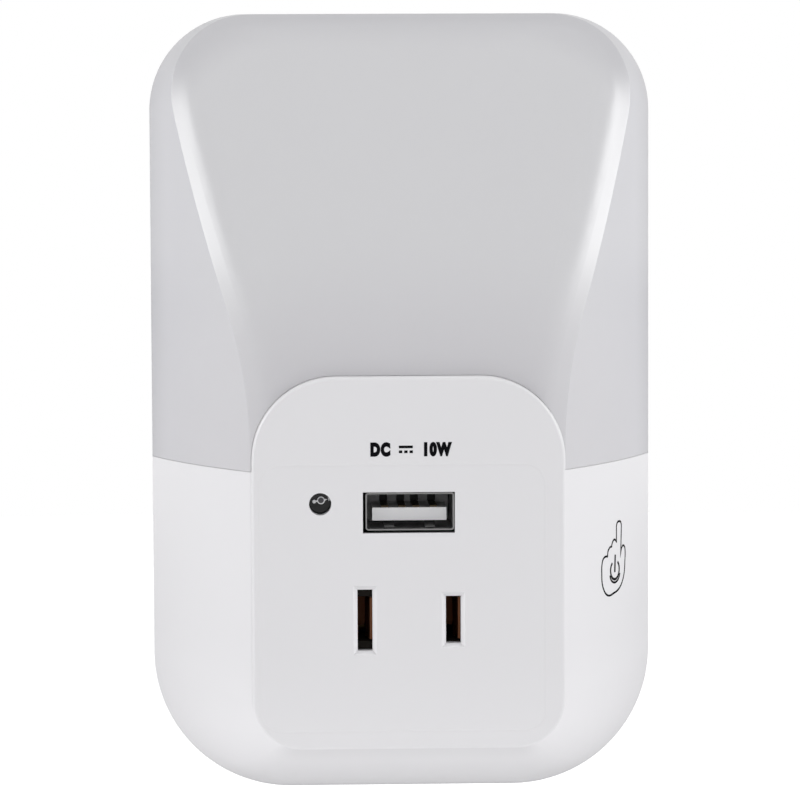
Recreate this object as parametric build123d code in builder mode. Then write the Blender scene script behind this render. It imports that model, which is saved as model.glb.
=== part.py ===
from build123d import *
import os

# Plug-in night light with a pass-through outlet and a USB socket.
# Millimetres. +Z is up, +X is to the right seen from the front, and the wall is the plane Y = 0.
# The origin is on the wall, midway between the blades. A "depth" is a distance forward of the wall (-Y).

# --- outer form -------------------------------------------------------------------------------
body_width = 75.2
body_bottom = -29.3
body_top = 87.7
top_corner_radius = 14.4
bottom_corner_radius = 20.7
cover_edge = 4.0
block_stand = 1.2
block_overlap = 1.2
waist_depth = 18.0
waist_inset = 5.9
waist_rise = 3.9
waist_corner_radius = 15.5
top_draft = 1.0
brow_height = 24.4
brow_radius = 48.0
brow_angle = 26.6
crease_width = 2.4
crease_shrink = 0.35
crease_radius = 8.0
shell_wall = 2.0
parting_height = 21.2
parting_gap = 0.05
lap_height = 3.0
lap_gap = 0.1

# --- outlet block -----------------------------------------------------------------------------
block_width = 45.0
block_bottom = -18.7
block_top = 35.0
block_depth = 36.0
block_back = 25.0
block_top_radius = 12.0
block_bottom_radius = 7.0
block_wall = 2.0
block_face_wall = 2.2
block_edge_radius = 0.55
notch_gap = 0.05

# --- outlet slots, blades and contacts --------------------------------------------------------
pole_spacing = 12.7
slot_play = 0.65
neutral_slot_play = 0.9
line_slot_play = 0.45
slot_bevel = 0.6
blade_thickness = 1.5
neutral_blade_height = 7.9
line_blade_height = 6.35
blade_reach = 17.5
blade_tip_chamfer = 0.6
blade_hole_radius = 1.55
blade_hole_reach = 11.7
blade_shoulder = 1.6
blade_shoulder_depth = 1.5
blade_tail = 12.5
leaf_thickness = 0.5
leaf_height = 6.0
leaf_mouth_gap = 0.3
flat_leaf_offset = 1.0
spring_pinch = 0.15
spring_bow = 1.6
spring_mouth = 0.75
leaf_root_depth = 17.0
leaf_bend_depth = 28.0
rivet_radius = 1.1
rivet_head_radius = 1.8
rivet_head_height = 0.6
rivet_setback = 3.0
fit_gap = 0.1

# --- contact holder ---------------------------------------------------------------------------
holder_side_wall = 1.9
holder_end_wall = 3.2
holder_depth = 9.0
holder_flange_thickness = 2.0
holder_flange_setback = 3.6
holder_ear_radius = 3.0
holder_screw_setback = 4.5
pocket_side_gap = 0.25

# --- USB socket -------------------------------------------------------------------------------
usb_height = 15.5
usb_opening_width = 13.2
usb_opening_height = 5.9
usb_shell_play = 0.25
usb_shell_wall = 0.3
usb_shell_radius = 0.9
usb_shell_recess = 0.5
usb_shift_x = 0.15
usb_shift_z = 0.12
usb_tongue_side_gap = 0.7
usb_tongue_thickness = 1.85
usb_tongue_drop = 0.55
usb_tongue_recess = 2.2
usb_base_length = 4.0
usb_contact_width = 1.0
usb_contact_thickness = 0.2
usb_inner_pitch = 2.0
usb_outer_pitch = 2.5
usb_contact_setback = 0.9
usb_spring_width = 1.4
usb_spring_length = 6.0
usb_spring_spacing = 5.9
usb_spring_slit = 0.3

# --- light sensor -----------------------------------------------------------------------------
sensor_x = -12.7
sensor_height = 16.8
sensor_hole_radius = 1.6
sleeve_radius = 2.7
sleeve_wall = 0.8
sleeve_play = 0.05
photocell_radius = 1.5
photocell_length = 4.0
photocell_flange_thickness = 0.8
photocell_recess = 3.0
photocell_lead_radius = 0.25
photocell_lead_spacing = 1.3
can_edge = 0.5

# --- power board ------------------------------------------------------------------------------
board_thickness = 1.6
board_side_gap = 0.5
board_foot_gap = 2.8
board_head_gap = 0.5
board_corner_radius = 2.0
board_depth = 20.5
board_screw_setback = 4.0
board_screw_drop = 5.0
boss_radius = 2.4
core_width = 13.0
core_height = 12.0
core_depth = 8.0
core_limb = 2.6
core_x = -6.5
core_rise = 8.9
coil_gap = 0.2
bulk_radius = 4.0
bulk_length = 12.0
bulk_x = 13.5
bulk_rise = 7.4
output_radius = 3.15
output_length = 11.0
output_x = 5.5
output_rise = 7.9
safety_radius = 3.6
safety_thickness = 3.0
safety_x = -17.0
safety_drop = 5.0
bridge_width = 4.7
bridge_height = 3.9
bridge_thickness = 1.5
bridge_x = 13.0
chip_width = 5.0
chip_height = 4.0
chip_thickness = 1.5
chip_x = 0.5
row_rise = 2.6
resistor_radius = 1.6
resistor_length = 8.0
resistor_x = -14.0

# --- lamp board -------------------------------------------------------------------------------
led_board_width = 44.0
led_board_bottom = 42.0
led_board_height = 30.0
led_board_depth = 7.0
led_count = 3
led_spacing = 15.0
led_width = 3.5
led_height = 2.8
led_thickness = 0.8
led_drop = 10.0
led_resistor_width = 1.6
led_resistor_height = 0.8
led_resistor_thickness = 0.5
led_resistor_drop = 8.0
led_screw_setback = 4.0
led_screw_rise = 6.0

# --- touch electrode --------------------------------------------------------------------------
touch_pad_thickness = 0.2
touch_pad_front = 24.0
touch_pad_back = 12.0
touch_pad_height = 13.0
touch_pad_post_gap = 1.2
touch_pad_play = 0.05

# --- wires ------------------------------------------------------------------------------------
wire_radius = 0.7
wire_bend = 2.2
mains_wire_drop = 1.0
thin_wire_radius = 0.45
thin_wire_bend = 2.5
wire_sides = 8
led_wire_spacing = 3.0
led_wire_drop = 2.0
led_wire_depth = 13.5
led_wire_rise = 2.5
touch_wire_setback = 6.9
touch_wire_height = 5.0
touch_wire_inset = 2.0

# --- rear cover and screws --------------------------------------------------------------------
cover_floor = 2.2
cover_wall = 2.0
cover_edge_radius = 0.6
lip_height = 2.5
lip_wall = 1.4
lip_gap = 0.15
lip_notch_gap = 0.4
post_radius = 3.2
post_foot_depth = 7.0
lower_screw_setback = 18.6
lower_screw_height = -15.0
upper_screw_setback = 10.1
upper_screw_height = 16.4
screw_radius = 1.45
screw_hole_gap = 0.2
screw_grip = 9.0
screw_head_height = 1.9
head_recess_radius = 2.8
head_recess_depth = 3.6
small_screw_radius = 1.0
small_screw_grip = 4.5
small_head_radius = 1.8
small_head_height = 1.2
pilot_gap = 0.05
latch_setback = 7.6
latch_height = 60.0
latch_width = 8.0
latch_thickness = 1.4
latch_hook = 0.9
latch_gap = 0.3
hook_gap = 0.1
hook_thickness = 1.3
catch_depth = 9.0
catch_thickness = 1.2

# --- worked out from the sizes above ----------------------------------------------------------
reach = 4 * body_width  # longer than anything that it cuts
body_half_width = body_width / 2
front_depth = block_depth - block_stand
front_half_width = block_width / 2 - block_overlap
front_bottom = block_bottom + block_overlap
front_corner_radius = block_bottom_radius - block_overlap
block_inner_depth = block_depth - block_face_wall
block_inner_half_width = block_width / 2 - block_wall
neutral_x = -pole_spacing / 2
line_x = pole_spacing / 2
slot_width = blade_thickness + slot_play
neutral_slot_height = neutral_blade_height + neutral_slot_play
line_slot_height = line_blade_height + line_slot_play
leaf_tip_depth = block_inner_depth - leaf_mouth_gap
rivet_depth = blade_tail - rivet_setback
holder_half_width = line_x + spring_bow + leaf_thickness + pocket_side_gap + holder_side_wall
holder_half_height = leaf_height / 2 + holder_end_wall
holder_screw_x = block_inner_half_width - holder_screw_setback
holder_front = block_inner_depth
holder_back = holder_front - holder_depth
flange_front = holder_front - holder_flange_setback
usb_x = usb_shift_x
usb_z = usb_height + usb_shift_z
usb_shell_width = usb_opening_width - 2 * usb_shell_play
usb_shell_height = usb_opening_height - 2 * usb_shell_play
usb_tongue_width = usb_shell_width - 2 * usb_shell_wall - 2 * usb_tongue_side_gap
usb_front = block_depth - usb_shell_recess
usb_tongue_z = usb_z - usb_tongue_drop
usb_tongue_front = usb_front - usb_tongue_recess
usb_base_front = board_depth + usb_base_length
photocell_flange_radius = sleeve_radius - sleeve_wall - sleeve_play
photocell_front = block_depth - photocell_recess
photocell_back = photocell_front - photocell_length
board_half_width = block_inner_half_width - board_side_gap
board_bottom = holder_half_height + board_foot_gap
board_top = block_top - block_wall - board_head_gap
board_back = board_depth - board_thickness
board_screw_x = board_half_width - board_screw_setback
board_screw_height = board_top - board_screw_drop
row_height = board_bottom + row_rise
core_height_center = row_height + core_rise
bulk_height = row_height + bulk_rise
output_height = row_height + output_rise
safety_height = board_screw_height - safety_drop
led_board_top = led_board_bottom + led_board_height
led_front = led_board_depth + board_thickness
led_center_height = led_board_top - led_drop
led_screw_x = led_board_width / 2 - led_screw_setback
led_screw_height = led_board_bottom + led_screw_rise
touch_pad_top = upper_screw_height - post_radius - touch_pad_post_gap
touch_pad_bottom = touch_pad_top - touch_pad_height
mains_wire_depth = (leaf_root_depth + blade_tail) / 2
mains_wire_height = row_height - mains_wire_drop
led_wire_foot = board_top - led_wire_drop
led_wire_end = led_board_bottom + led_wire_rise
touch_wire_end = body_half_width - touch_wire_setback
touch_wire_x = board_half_width - touch_wire_inset
lower_screw_x = body_half_width - lower_screw_setback
upper_screw_x = body_half_width - upper_screw_setback
latch_x = body_half_width - latch_setback
catch_inner_x = latch_x + latch_thickness + latch_gap
hook_depth = catch_depth + catch_thickness + hook_gap
housing_screw_spots = [
    (-lower_screw_x, lower_screw_height),
    (lower_screw_x, lower_screw_height),
    (-upper_screw_x, upper_screw_height),
    (upper_screw_x, upper_screw_height),
]
board_screw_spots = [(-board_screw_x, board_screw_height), (board_screw_x, board_screw_height)]
holder_screw_spots = [(-holder_screw_x, 0), (holder_screw_x, 0)]
led_screw_spots = [(-led_screw_x, led_screw_height), (led_screw_x, led_screw_height)]


def at_depth(depth):
    """The upright plane at one depth: local x is X, local y is Z, and it faces forward."""
    return Plane.XZ.offset(depth)


def outline(depth, half_width, bottom, top, bottom_radius, top_radius):
    """An upright rectangle with one radius for its lower corners and one for its upper ones."""
    with BuildSketch(at_depth(depth)) as shape:
        with Locations((0, (bottom + top) / 2)):
            Rectangle(2 * half_width, top - bottom)
        fillet(shape.vertices().group_by(Axis.Y)[0], bottom_radius)
        fillet(shape.vertices().group_by(Axis.Y)[-1], top_radius)
    return shape.sketch


def rim_outline(depth, inset):
    """The outline of the lamp against the wall, drawn in by an inset."""
    return outline(
        depth,
        body_half_width - inset,
        body_bottom + inset,
        body_top - inset,
        bottom_corner_radius - inset,
        top_corner_radius - inset,
    )


def block_outline(depth, inset):
    """The outline of the outlet block, drawn in by an inset."""
    return outline(
        depth,
        block_width / 2 - inset,
        block_bottom + inset,
        block_top - inset,
        block_bottom_radius - inset,
        block_top_radius - inset,
    )


def crease_edges(form):
    """The edges round the leaning front, but not the level one where it turns upright."""
    leaning = form.faces().filter_by(lambda f: f.normal_at().Y < 0 < round(f.normal_at().Z, 2))
    leaning = leaning.filter_by(GeomType.PLANE) + leaning.filter_by(GeomType.CYLINDER)
    return ShapeList(leaning.edges()).filter_by(
        lambda e: abs(e.center().X) > shell_wall or e.center().Z > body_top - top_corner_radius
    )


def body_form(inset):
    """The form of both front shells as one solid: sides that flare to the wall, and a brow that
    leans back above the outlet block. An inset gives the same form drawn in by a wall."""
    waist = outline(
        waist_depth,
        body_half_width - waist_inset - inset,
        body_bottom + waist_rise + inset,
        body_top - top_draft / 2 - inset,
        waist_corner_radius - inset,
        top_corner_radius - inset,
    )
    front = outline(
        front_depth - inset,
        front_half_width - inset,
        front_bottom + inset,
        body_top - top_draft - inset,
        front_corner_radius - inset,
        top_corner_radius - inset,
    )
    with BuildPart() as form:
        loft([rim_outline(cover_edge, inset), waist, front])
        with BuildSketch(Plane.YZ):
            with BuildLine():
                foot = (inset - front_depth, 2 * body_bottom)
                upright = Line(foot, (inset - front_depth, brow_height))
                brow = JernArc(upright @ 1, upright % 1, brow_radius - inset, -brow_angle)
                slope = Line(brow @ 1, (brow @ 1) + (brow % 1) * body_top)
                Polyline(slope @ 1, (reach, 2 * body_top), (reach, 2 * body_bottom), foot)
            make_face()
        extrude(amount=body_width, both=True, mode=Mode.INTERSECT)
        # a narrow facet with a crisp outer edge, whose inner edge rolls into the front
        chamfer(crease_edges(form), crease_width - crease_shrink * inset)
        fillet(crease_edges(form), crease_radius - inset)
    return form.part


def slab(low, high):
    """Everything between two heights."""
    with BuildPart() as layer:
        with BuildSketch(Plane.XY.offset(low)):
            Rectangle(reach, reach)
        extrude(amount=high - low)
    return layer.part


def depth_slab(back, front):
    """Everything between two depths."""
    with BuildPart() as layer:
        with BuildSketch(at_depth(back)):
            Rectangle(reach, reach)
        extrude(amount=front - back)
    return layer.part


def finish(piece, name):
    """Labels a piece and writes it."""
    piece.part.label = name
    export_step(piece.part, f"parts/{name}.step")


def shade(piece, red, green, blue):
    """Gives a piece a plain colour."""
    piece.part.color = Color(red, green, blue)


os.makedirs("parts", exist_ok=True)

outer_form = body_form(0)
inner_form = body_form(shell_wall)
lap_outer_form = body_form(shell_wall / 2 + lap_gap / 2)
lap_inner_form = body_form(shell_wall / 2 - lap_gap / 2)

# --- front housing ----------------------------------------------------------------------------
# The lower shell and the outlet block are one moulding. The block's side walls run on behind the
# diffuser, and a tongue at the parting line laps inside the diffuser's wall.
with BuildPart() as tongue:
    add(lap_outer_form)
    add(inner_form, mode=Mode.SUBTRACT)
    add(slab(parting_height - lap_height, parting_height + lap_height), mode=Mode.INTERSECT)

with BuildPart() as posts:
    with BuildSketch(at_depth(post_foot_depth)):
        with Locations(*housing_screw_spots):
            Circle(post_radius)
    extrude(amount=front_depth - post_foot_depth)
    add(lap_outer_form, mode=Mode.INTERSECT)

with BuildPart() as block:
    extrude(block_outline(block_back, 0), amount=block_depth - block_back)
    fillet(block.faces().sort_by(Axis.Y)[0].edges(), block_edge_radius)

with BuildPart() as front_housing:
    add(outer_form)
    add(inner_form, mode=Mode.SUBTRACT)
    add(slab(2 * body_bottom, parting_height), mode=Mode.INTERSECT)
    add(tongue.part)
    add(posts.part)
    add(block.part)
    hollow = block_outline(block_back, block_wall)
    extrude(hollow, amount=block_inner_depth - block_back, mode=Mode.SUBTRACT)
    with BuildSketch(at_depth(board_depth)):
        with Locations(*board_screw_spots):
            Circle(boss_radius)
    extrude(amount=block_inner_depth - board_depth)
    with BuildSketch(at_depth(flange_front)):
        with Locations(*holder_screw_spots):
            Circle(boss_radius)
    extrude(amount=block_inner_depth - flange_front)
    with BuildSketch(at_depth(block_inner_depth)) as openings:
        with Locations((neutral_x, 0)):
            Rectangle(slot_width, neutral_slot_height)
        with Locations((line_x, 0)):
            Rectangle(slot_width, line_slot_height)
    extrude(amount=block_face_wall, mode=Mode.SUBTRACT)
    slot_mouths = front_housing.faces().sort_by(Axis.Y)[0].inner_wires()
    chamfer(slot_mouths.edges(), slot_bevel)
    with BuildSketch(at_depth(block_inner_depth)):
        with Locations((0, usb_height)):
            Rectangle(usb_opening_width, usb_opening_height)
    extrude(amount=block_face_wall, mode=Mode.SUBTRACT)
    with BuildSketch(at_depth(block_inner_depth)):
        with Locations((sensor_x, sensor_height)):
            Circle(sensor_hole_radius)
    extrude(amount=block_face_wall, mode=Mode.SUBTRACT)
    with BuildSketch(at_depth(post_foot_depth)):
        with Locations(*housing_screw_spots):
            Circle(screw_radius + pilot_gap)
    extrude(amount=screw_grip, mode=Mode.SUBTRACT)
    with BuildSketch(at_depth(board_depth)):
        with Locations(*board_screw_spots):
            Circle(small_screw_radius + pilot_gap)
    extrude(amount=small_screw_grip, mode=Mode.SUBTRACT)
    with BuildSketch(at_depth(flange_front)):
        with Locations(*holder_screw_spots):
            Circle(small_screw_radius + pilot_gap)
    extrude(amount=holder_flange_setback - pilot_gap, mode=Mode.SUBTRACT)
shade(front_housing, 0.90, 0.91, 0.93)
finish(front_housing, "front_housing")

# --- diffuser ---------------------------------------------------------------------------------
# The translucent upper shell, notched round the outlet block and thinned where the tongue laps it.
with BuildPart() as lap_space:
    add(lap_inner_form)
    add(slab(2 * body_bottom, parting_height + lap_height + parting_gap), mode=Mode.INTERSECT)

with BuildPart() as catches:
    with BuildSketch(at_depth(catch_depth)):
        for side in (-1, 1):
            with Locations((side * (catch_inner_x + body_half_width) / 2, latch_height)):
                Rectangle(body_half_width - catch_inner_x, latch_width)
    extrude(amount=catch_thickness)
    add(lap_outer_form, mode=Mode.INTERSECT)

with BuildPart() as diffuser:
    add(outer_form)
    add(inner_form, mode=Mode.SUBTRACT)
    add(slab(parting_height + parting_gap, 2 * body_top), mode=Mode.INTERSECT)
    add(lap_space.part, mode=Mode.SUBTRACT)
    extrude(block_outline(0, -notch_gap), amount=2 * block_depth, mode=Mode.SUBTRACT)
    add(catches.part)
shade(diffuser, 0.85, 0.87, 0.90)
finish(diffuser, "diffuser")

# --- rear cover -------------------------------------------------------------------------------
with BuildPart() as lip:
    add(body_form(shell_wall + lip_gap))
    add(body_form(shell_wall + lip_gap + lip_wall), mode=Mode.SUBTRACT)
    add(depth_slab(cover_edge, cover_edge + lip_height), mode=Mode.INTERSECT)
    extrude(rim_outline(cover_floor, shell_wall + lip_gap), amount=cover_edge - cover_floor)
    lip_inside = rim_outline(cover_floor, shell_wall + lip_gap + lip_wall)
    extrude(lip_inside, amount=cover_edge - cover_floor, mode=Mode.SUBTRACT)
    with BuildSketch(at_depth(cover_floor)):
        with Locations(*housing_screw_spots):
            Circle(post_radius + lip_notch_gap)
    extrude(amount=block_depth, mode=Mode.SUBTRACT)

with BuildPart() as rear_cover:
    extrude(rim_outline(0, 0), amount=cover_edge)
    fillet(rear_cover.faces().sort_by(Axis.Y)[-1].edges(), cover_edge_radius)
    extrude(rim_outline(cover_floor, cover_wall), amount=cover_edge - cover_floor, mode=Mode.SUBTRACT)
    add(lip.part)
    with BuildSketch(at_depth(cover_floor)):
        with Locations(*housing_screw_spots):
            Circle(post_radius)
    extrude(amount=post_foot_depth - cover_floor)
    with BuildSketch(at_depth(0)):
        with Locations(*housing_screw_spots):
            Circle(screw_radius + screw_hole_gap)
    extrude(amount=post_foot_depth, mode=Mode.SUBTRACT)
    with BuildSketch(at_depth(0)):
        with Locations(*housing_screw_spots):
            Circle(head_recess_radius)
    extrude(amount=head_recess_depth, mode=Mode.SUBTRACT)
    with BuildSketch(at_depth(cover_floor)):
        with Locations(*led_screw_spots):
            Circle(boss_radius)
    extrude(amount=led_board_depth - cover_floor)
    with BuildSketch(at_depth(cover_floor)):
        with Locations(*led_screw_spots):
            Circle(small_screw_radius + pilot_gap)
    extrude(amount=led_board_depth - cover_floor, mode=Mode.SUBTRACT)
    with BuildSketch(at_depth(0)):
        with Locations((neutral_x, 0)):
            Rectangle(blade_thickness + 2 * fit_gap, neutral_blade_height + 2 * fit_gap)
        with Locations((line_x, 0)):
            Rectangle(blade_thickness + 2 * fit_gap, line_blade_height + 2 * fit_gap)
    extrude(amount=cover_floor, mode=Mode.SUBTRACT)
    # a latch on each side hooks over a catch inside the diffuser
    for side in (-1, 1):
        with BuildSketch(at_depth(cover_floor)):
            with Locations((side * (latch_x + latch_thickness / 2), latch_height)):
                Rectangle(latch_thickness, latch_width)
        extrude(amount=hook_depth + hook_thickness - cover_floor)
        with BuildSketch(at_depth(hook_depth)):
            with Locations((side * (latch_x + latch_thickness + latch_hook / 2), latch_height)):
                Rectangle(latch_hook, latch_width)
        extrude(amount=hook_thickness)
shade(rear_cover, 0.88, 0.89, 0.91)
finish(rear_cover, "rear_cover")


# --- plug blades ------------------------------------------------------------------------------
def blade(x, height):
    """A flat blade through the rear cover, held by a wider shoulder against the cover's floor."""
    with BuildPart() as piece:
        with BuildSketch(Plane.YZ.offset(x - blade_thickness / 2)):
            with Locations(((blade_reach - blade_tail) / 2, 0)):
                Rectangle(blade_reach + blade_tail, height)
            with Locations((-cover_floor - blade_shoulder_depth / 2, 0)):
                Rectangle(blade_shoulder_depth, height + 2 * blade_shoulder)
            with Locations((blade_hole_reach, 0)):
                Circle(blade_hole_radius, mode=Mode.SUBTRACT)
            with Locations((-rivet_depth, 0)):
                Circle(rivet_radius, mode=Mode.SUBTRACT)
        extrude(amount=blade_thickness)
        chamfer(piece.faces().sort_by(Axis.Y)[-1].edges(), blade_tip_chamfer)
    return piece


def contact(x):
    """A spring contact: a flat leaf riveted to the blade, and a bowed leaf that grips from the
    other side, joined behind the mouth."""
    flat_back = x - flat_leaf_offset - leaf_thickness
    seat = x - blade_thickness / 2 - leaf_thickness
    bow = x + spring_bow
    with BuildPart() as piece:
        with BuildSketch(Plane.XY.offset(-leaf_height / 2)):
            with BuildLine():
                Polyline(
                    (flat_back, -leaf_tip_depth),
                    (flat_back, -leaf_root_depth),
                    (seat, -blade_tail),
                    (seat, -rivet_depth + rivet_head_radius),
                    (seat + leaf_thickness, -rivet_depth + rivet_head_radius),
                    (seat + leaf_thickness, -blade_tail),
                    (flat_back + leaf_thickness, -leaf_root_depth),
                    (flat_back + leaf_thickness, -leaf_tip_depth),
                    close=True,
                )
            make_face()
            with BuildLine():
                Polyline(
                    (flat_back, -leaf_root_depth),
                    (bow + leaf_thickness, -leaf_root_depth),
                    (bow + leaf_thickness, -leaf_bend_depth + spring_bow),
                    (x + spring_pinch + leaf_thickness, -leaf_bend_depth - spring_bow),
                    (x + spring_mouth + leaf_thickness, -leaf_tip_depth),
                    (x + spring_mouth, -leaf_tip_depth),
                    (x + spring_pinch, -leaf_bend_depth - spring_bow),
                    (bow, -leaf_bend_depth + spring_bow),
                    (bow, -leaf_root_depth - leaf_thickness),
                    (flat_back, -leaf_root_depth - leaf_thickness),
                    close=True,
                )
            make_face()
        extrude(amount=leaf_height)
        with BuildSketch(Plane.YZ.offset(seat - leaf_thickness)):
            with Locations((-rivet_depth, 0)):
                Circle(rivet_radius)
        extrude(amount=3 * leaf_thickness, mode=Mode.SUBTRACT)
    return piece


neutral_blade = blade(neutral_x, neutral_blade_height)
shade(neutral_blade, 0.80, 0.70, 0.45)
finish(neutral_blade, "neutral_blade")
line_blade = blade(line_x, line_blade_height)
shade(line_blade, 0.80, 0.70, 0.45)
finish(line_blade, "line_blade")
neutral_contact = contact(neutral_x)
shade(neutral_contact, 0.72, 0.45, 0.30)
finish(neutral_contact, "neutral_contact")
line_contact = contact(line_x)
shade(line_contact, 0.72, 0.45, 0.30)
finish(line_contact, "line_contact")

with BuildPart() as contact_rivets:
    for x in (neutral_x, line_x):
        blade_side = x + blade_thickness / 2
        leaf_side = x - blade_thickness / 2 - leaf_thickness
        for start, height, radius in (
            (leaf_side - rivet_head_height, rivet_head_height, rivet_head_radius),
            (leaf_side, blade_side - leaf_side, rivet_radius),
            (blade_side, rivet_head_height, rivet_head_radius),
        ):
            with BuildSketch(Plane.YZ.offset(start)):
                with Locations((-rivet_depth, 0)):
                    Circle(radius)
            extrude(amount=height)
shade(contact_rivets, 0.75, 0.75, 0.72)
finish(contact_rivets, "contact_rivets")

# --- contact holder ---------------------------------------------------------------------------
with BuildPart() as contact_holder:
    with BuildSketch(at_depth(holder_back)):
        Rectangle(2 * holder_half_width, 2 * holder_half_height)
    extrude(amount=holder_depth)
    with BuildSketch(at_depth(flange_front - holder_flange_thickness)):
        SlotCenterToCenter(2 * holder_screw_x, 2 * holder_ear_radius)
    extrude(amount=holder_flange_thickness)
    with BuildSketch(at_depth(holder_back)):
        for x in (neutral_x, line_x):
            pocket_left = x - flat_leaf_offset - leaf_thickness - pocket_side_gap
            pocket_right = x + spring_bow + leaf_thickness + pocket_side_gap
            with Locations(((pocket_left + pocket_right) / 2, 0)):
                Rectangle(pocket_right - pocket_left, leaf_height + 2 * pocket_side_gap)
    extrude(amount=holder_depth, mode=Mode.SUBTRACT)
    with BuildSketch(at_depth(holder_back)):
        with Locations(*holder_screw_spots):
            Circle(small_screw_radius + screw_hole_gap)
    extrude(amount=holder_depth, mode=Mode.SUBTRACT)
shade(contact_holder, 0.30, 0.30, 0.32)
finish(contact_holder, "contact_holder")


# --- screws -----------------------------------------------------------------------------------
def screws(spots, seat, grip, radius, head_radius, head_height):
    """Pan-head screws driven forward from behind: heads behind the seat, shanks ahead of it."""
    with BuildPart() as group:
        with BuildSketch(at_depth(seat - head_height)):
            with Locations(*spots):
                Circle(head_radius)
        extrude(amount=head_height)
        with BuildSketch(at_depth(seat)):
            with Locations(*spots):
                Circle(radius)
        extrude(amount=grip)
    return group


housing_screws = screws(
    housing_screw_spots,
    head_recess_depth,
    post_foot_depth - head_recess_depth + screw_grip - screw_hole_gap,
    screw_radius,
    head_recess_radius - screw_hole_gap,
    screw_head_height,
)
shade(housing_screws, 0.60, 0.60, 0.62)
finish(housing_screws, "housing_screws")
board_screws = screws(
    board_screw_spots,
    board_back,
    board_thickness + small_screw_grip - screw_hole_gap,
    small_screw_radius,
    small_head_radius,
    small_head_height,
)
shade(board_screws, 0.60, 0.60, 0.62)
finish(board_screws, "board_screws")
holder_screws = screws(
    holder_screw_spots,
    flange_front - holder_flange_thickness,
    holder_flange_thickness + holder_flange_setback - screw_hole_gap,
    small_screw_radius,
    small_head_radius,
    small_head_height,
)
shade(holder_screws, 0.60, 0.60, 0.62)
finish(holder_screws, "holder_screws")

# --- USB socket -------------------------------------------------------------------------------
with BuildPart() as usb_shell:
    with BuildSketch(at_depth(board_depth)):
        with Locations((usb_x, usb_z)):
            RectangleRounded(usb_shell_width, usb_shell_height, usb_shell_radius)
            RectangleRounded(
                usb_shell_width - 2 * usb_shell_wall,
                usb_shell_height - 2 * usb_shell_wall,
                usb_shell_radius - usb_shell_wall,
                mode=Mode.SUBTRACT,
            )
    extrude(amount=usb_front - board_depth)
    # two springs on the lower wall, each freed by a slit on either side
    with BuildSketch(Plane.XY.offset(usb_z - usb_shell_height / 2)):
        for side in (-1, 1):
            spring_x = usb_x + side * usb_spring_spacing / 2
            for edge in (-1, 1):
                with Locations((spring_x + edge * usb_spring_width / 2, usb_spring_length - usb_front)):
                    Rectangle(usb_spring_slit, usb_spring_length)
    extrude(amount=usb_shell_radius, mode=Mode.SUBTRACT)
shade(usb_shell, 0.78, 0.79, 0.80)
finish(usb_shell, "usb_shell")

with BuildPart() as usb_insulator:
    with BuildSketch(at_depth(board_depth)):
        with Locations((usb_x, usb_z)):
            RectangleRounded(
                usb_shell_width - 2 * usb_shell_wall - fit_gap,
                usb_shell_height - 2 * usb_shell_wall - fit_gap,
                usb_shell_radius - usb_shell_wall,
            )
    extrude(amount=usb_base_length)
    with BuildSketch(at_depth(board_depth)):
        with Locations((usb_x, usb_tongue_z)):
            Rectangle(usb_tongue_width, usb_tongue_thickness)
    extrude(amount=usb_tongue_front - board_depth)
shade(usb_insulator, 0.93, 0.93, 0.92)

usb_contact_xs = [
    usb_x - usb_inner_pitch / 2 - usb_outer_pitch,
    usb_x - usb_inner_pitch / 2,
    usb_x + usb_inner_pitch / 2,
    usb_x + usb_inner_pitch / 2 + usb_outer_pitch,
]
usb_contact_bottom = usb_tongue_z + usb_tongue_thickness / 2
with BuildPart() as usb_contacts:
    with BuildSketch(at_depth(usb_base_front)):
        for x in usb_contact_xs:
            with Locations((x, usb_contact_bottom + usb_contact_thickness / 2)):
                Rectangle(usb_contact_width, usb_contact_thickness)
    extrude(amount=usb_tongue_front - usb_contact_setback - usb_base_front)
shade(usb_contacts, 0.85, 0.72, 0.40)
finish(usb_insulator, "usb_insulator")
finish(usb_contacts, "usb_contacts")

# --- light sensor -----------------------------------------------------------------------------
with BuildPart() as photocell_sleeve:
    with BuildSketch(at_depth(board_depth)):
        with Locations((sensor_x, sensor_height)):
            Circle(sleeve_radius)
            Circle(sleeve_radius - sleeve_wall, mode=Mode.SUBTRACT)
    extrude(amount=block_inner_depth - board_depth)
shade(photocell_sleeve, 0.08, 0.08, 0.09)
finish(photocell_sleeve, "photocell_sleeve")

with BuildPart() as photocell:
    with BuildSketch(at_depth(photocell_back)):
        with Locations((sensor_x, sensor_height)):
            Circle(photocell_flange_radius)
    extrude(amount=photocell_flange_thickness)
    with BuildSketch(at_depth(photocell_back)):
        with Locations((sensor_x, sensor_height)):
            Circle(photocell_radius)
    extrude(amount=photocell_length)
    with BuildSketch(at_depth(board_depth)):
        with Locations((sensor_x, sensor_height)):
            with GridLocations(photocell_lead_spacing, 0, 2, 1):
                Circle(photocell_lead_radius)
    extrude(amount=photocell_back - board_depth)
shade(photocell, 0.75, 0.76, 0.78)
finish(photocell, "photocell")


# --- boards and what stands on them -----------------------------------------------------------
def board(depth, half_width, bottom, top, spots):
    """A circuit board parallel to the wall, with its screw holes."""
    with BuildPart() as plate:
        shape = outline(depth, half_width, bottom, top, board_corner_radius, board_corner_radius)
        extrude(shape, amount=board_thickness)
        with BuildSketch(at_depth(depth)):
            with Locations(*spots):
                Circle(small_screw_radius + screw_hole_gap)
        extrude(amount=board_thickness, mode=Mode.SUBTRACT)
    return plate


power_board = board(board_back, board_half_width, board_bottom, board_top, board_screw_spots)
shade(power_board, 0.20, 0.45, 0.25)
finish(power_board, "power_board")

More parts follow.
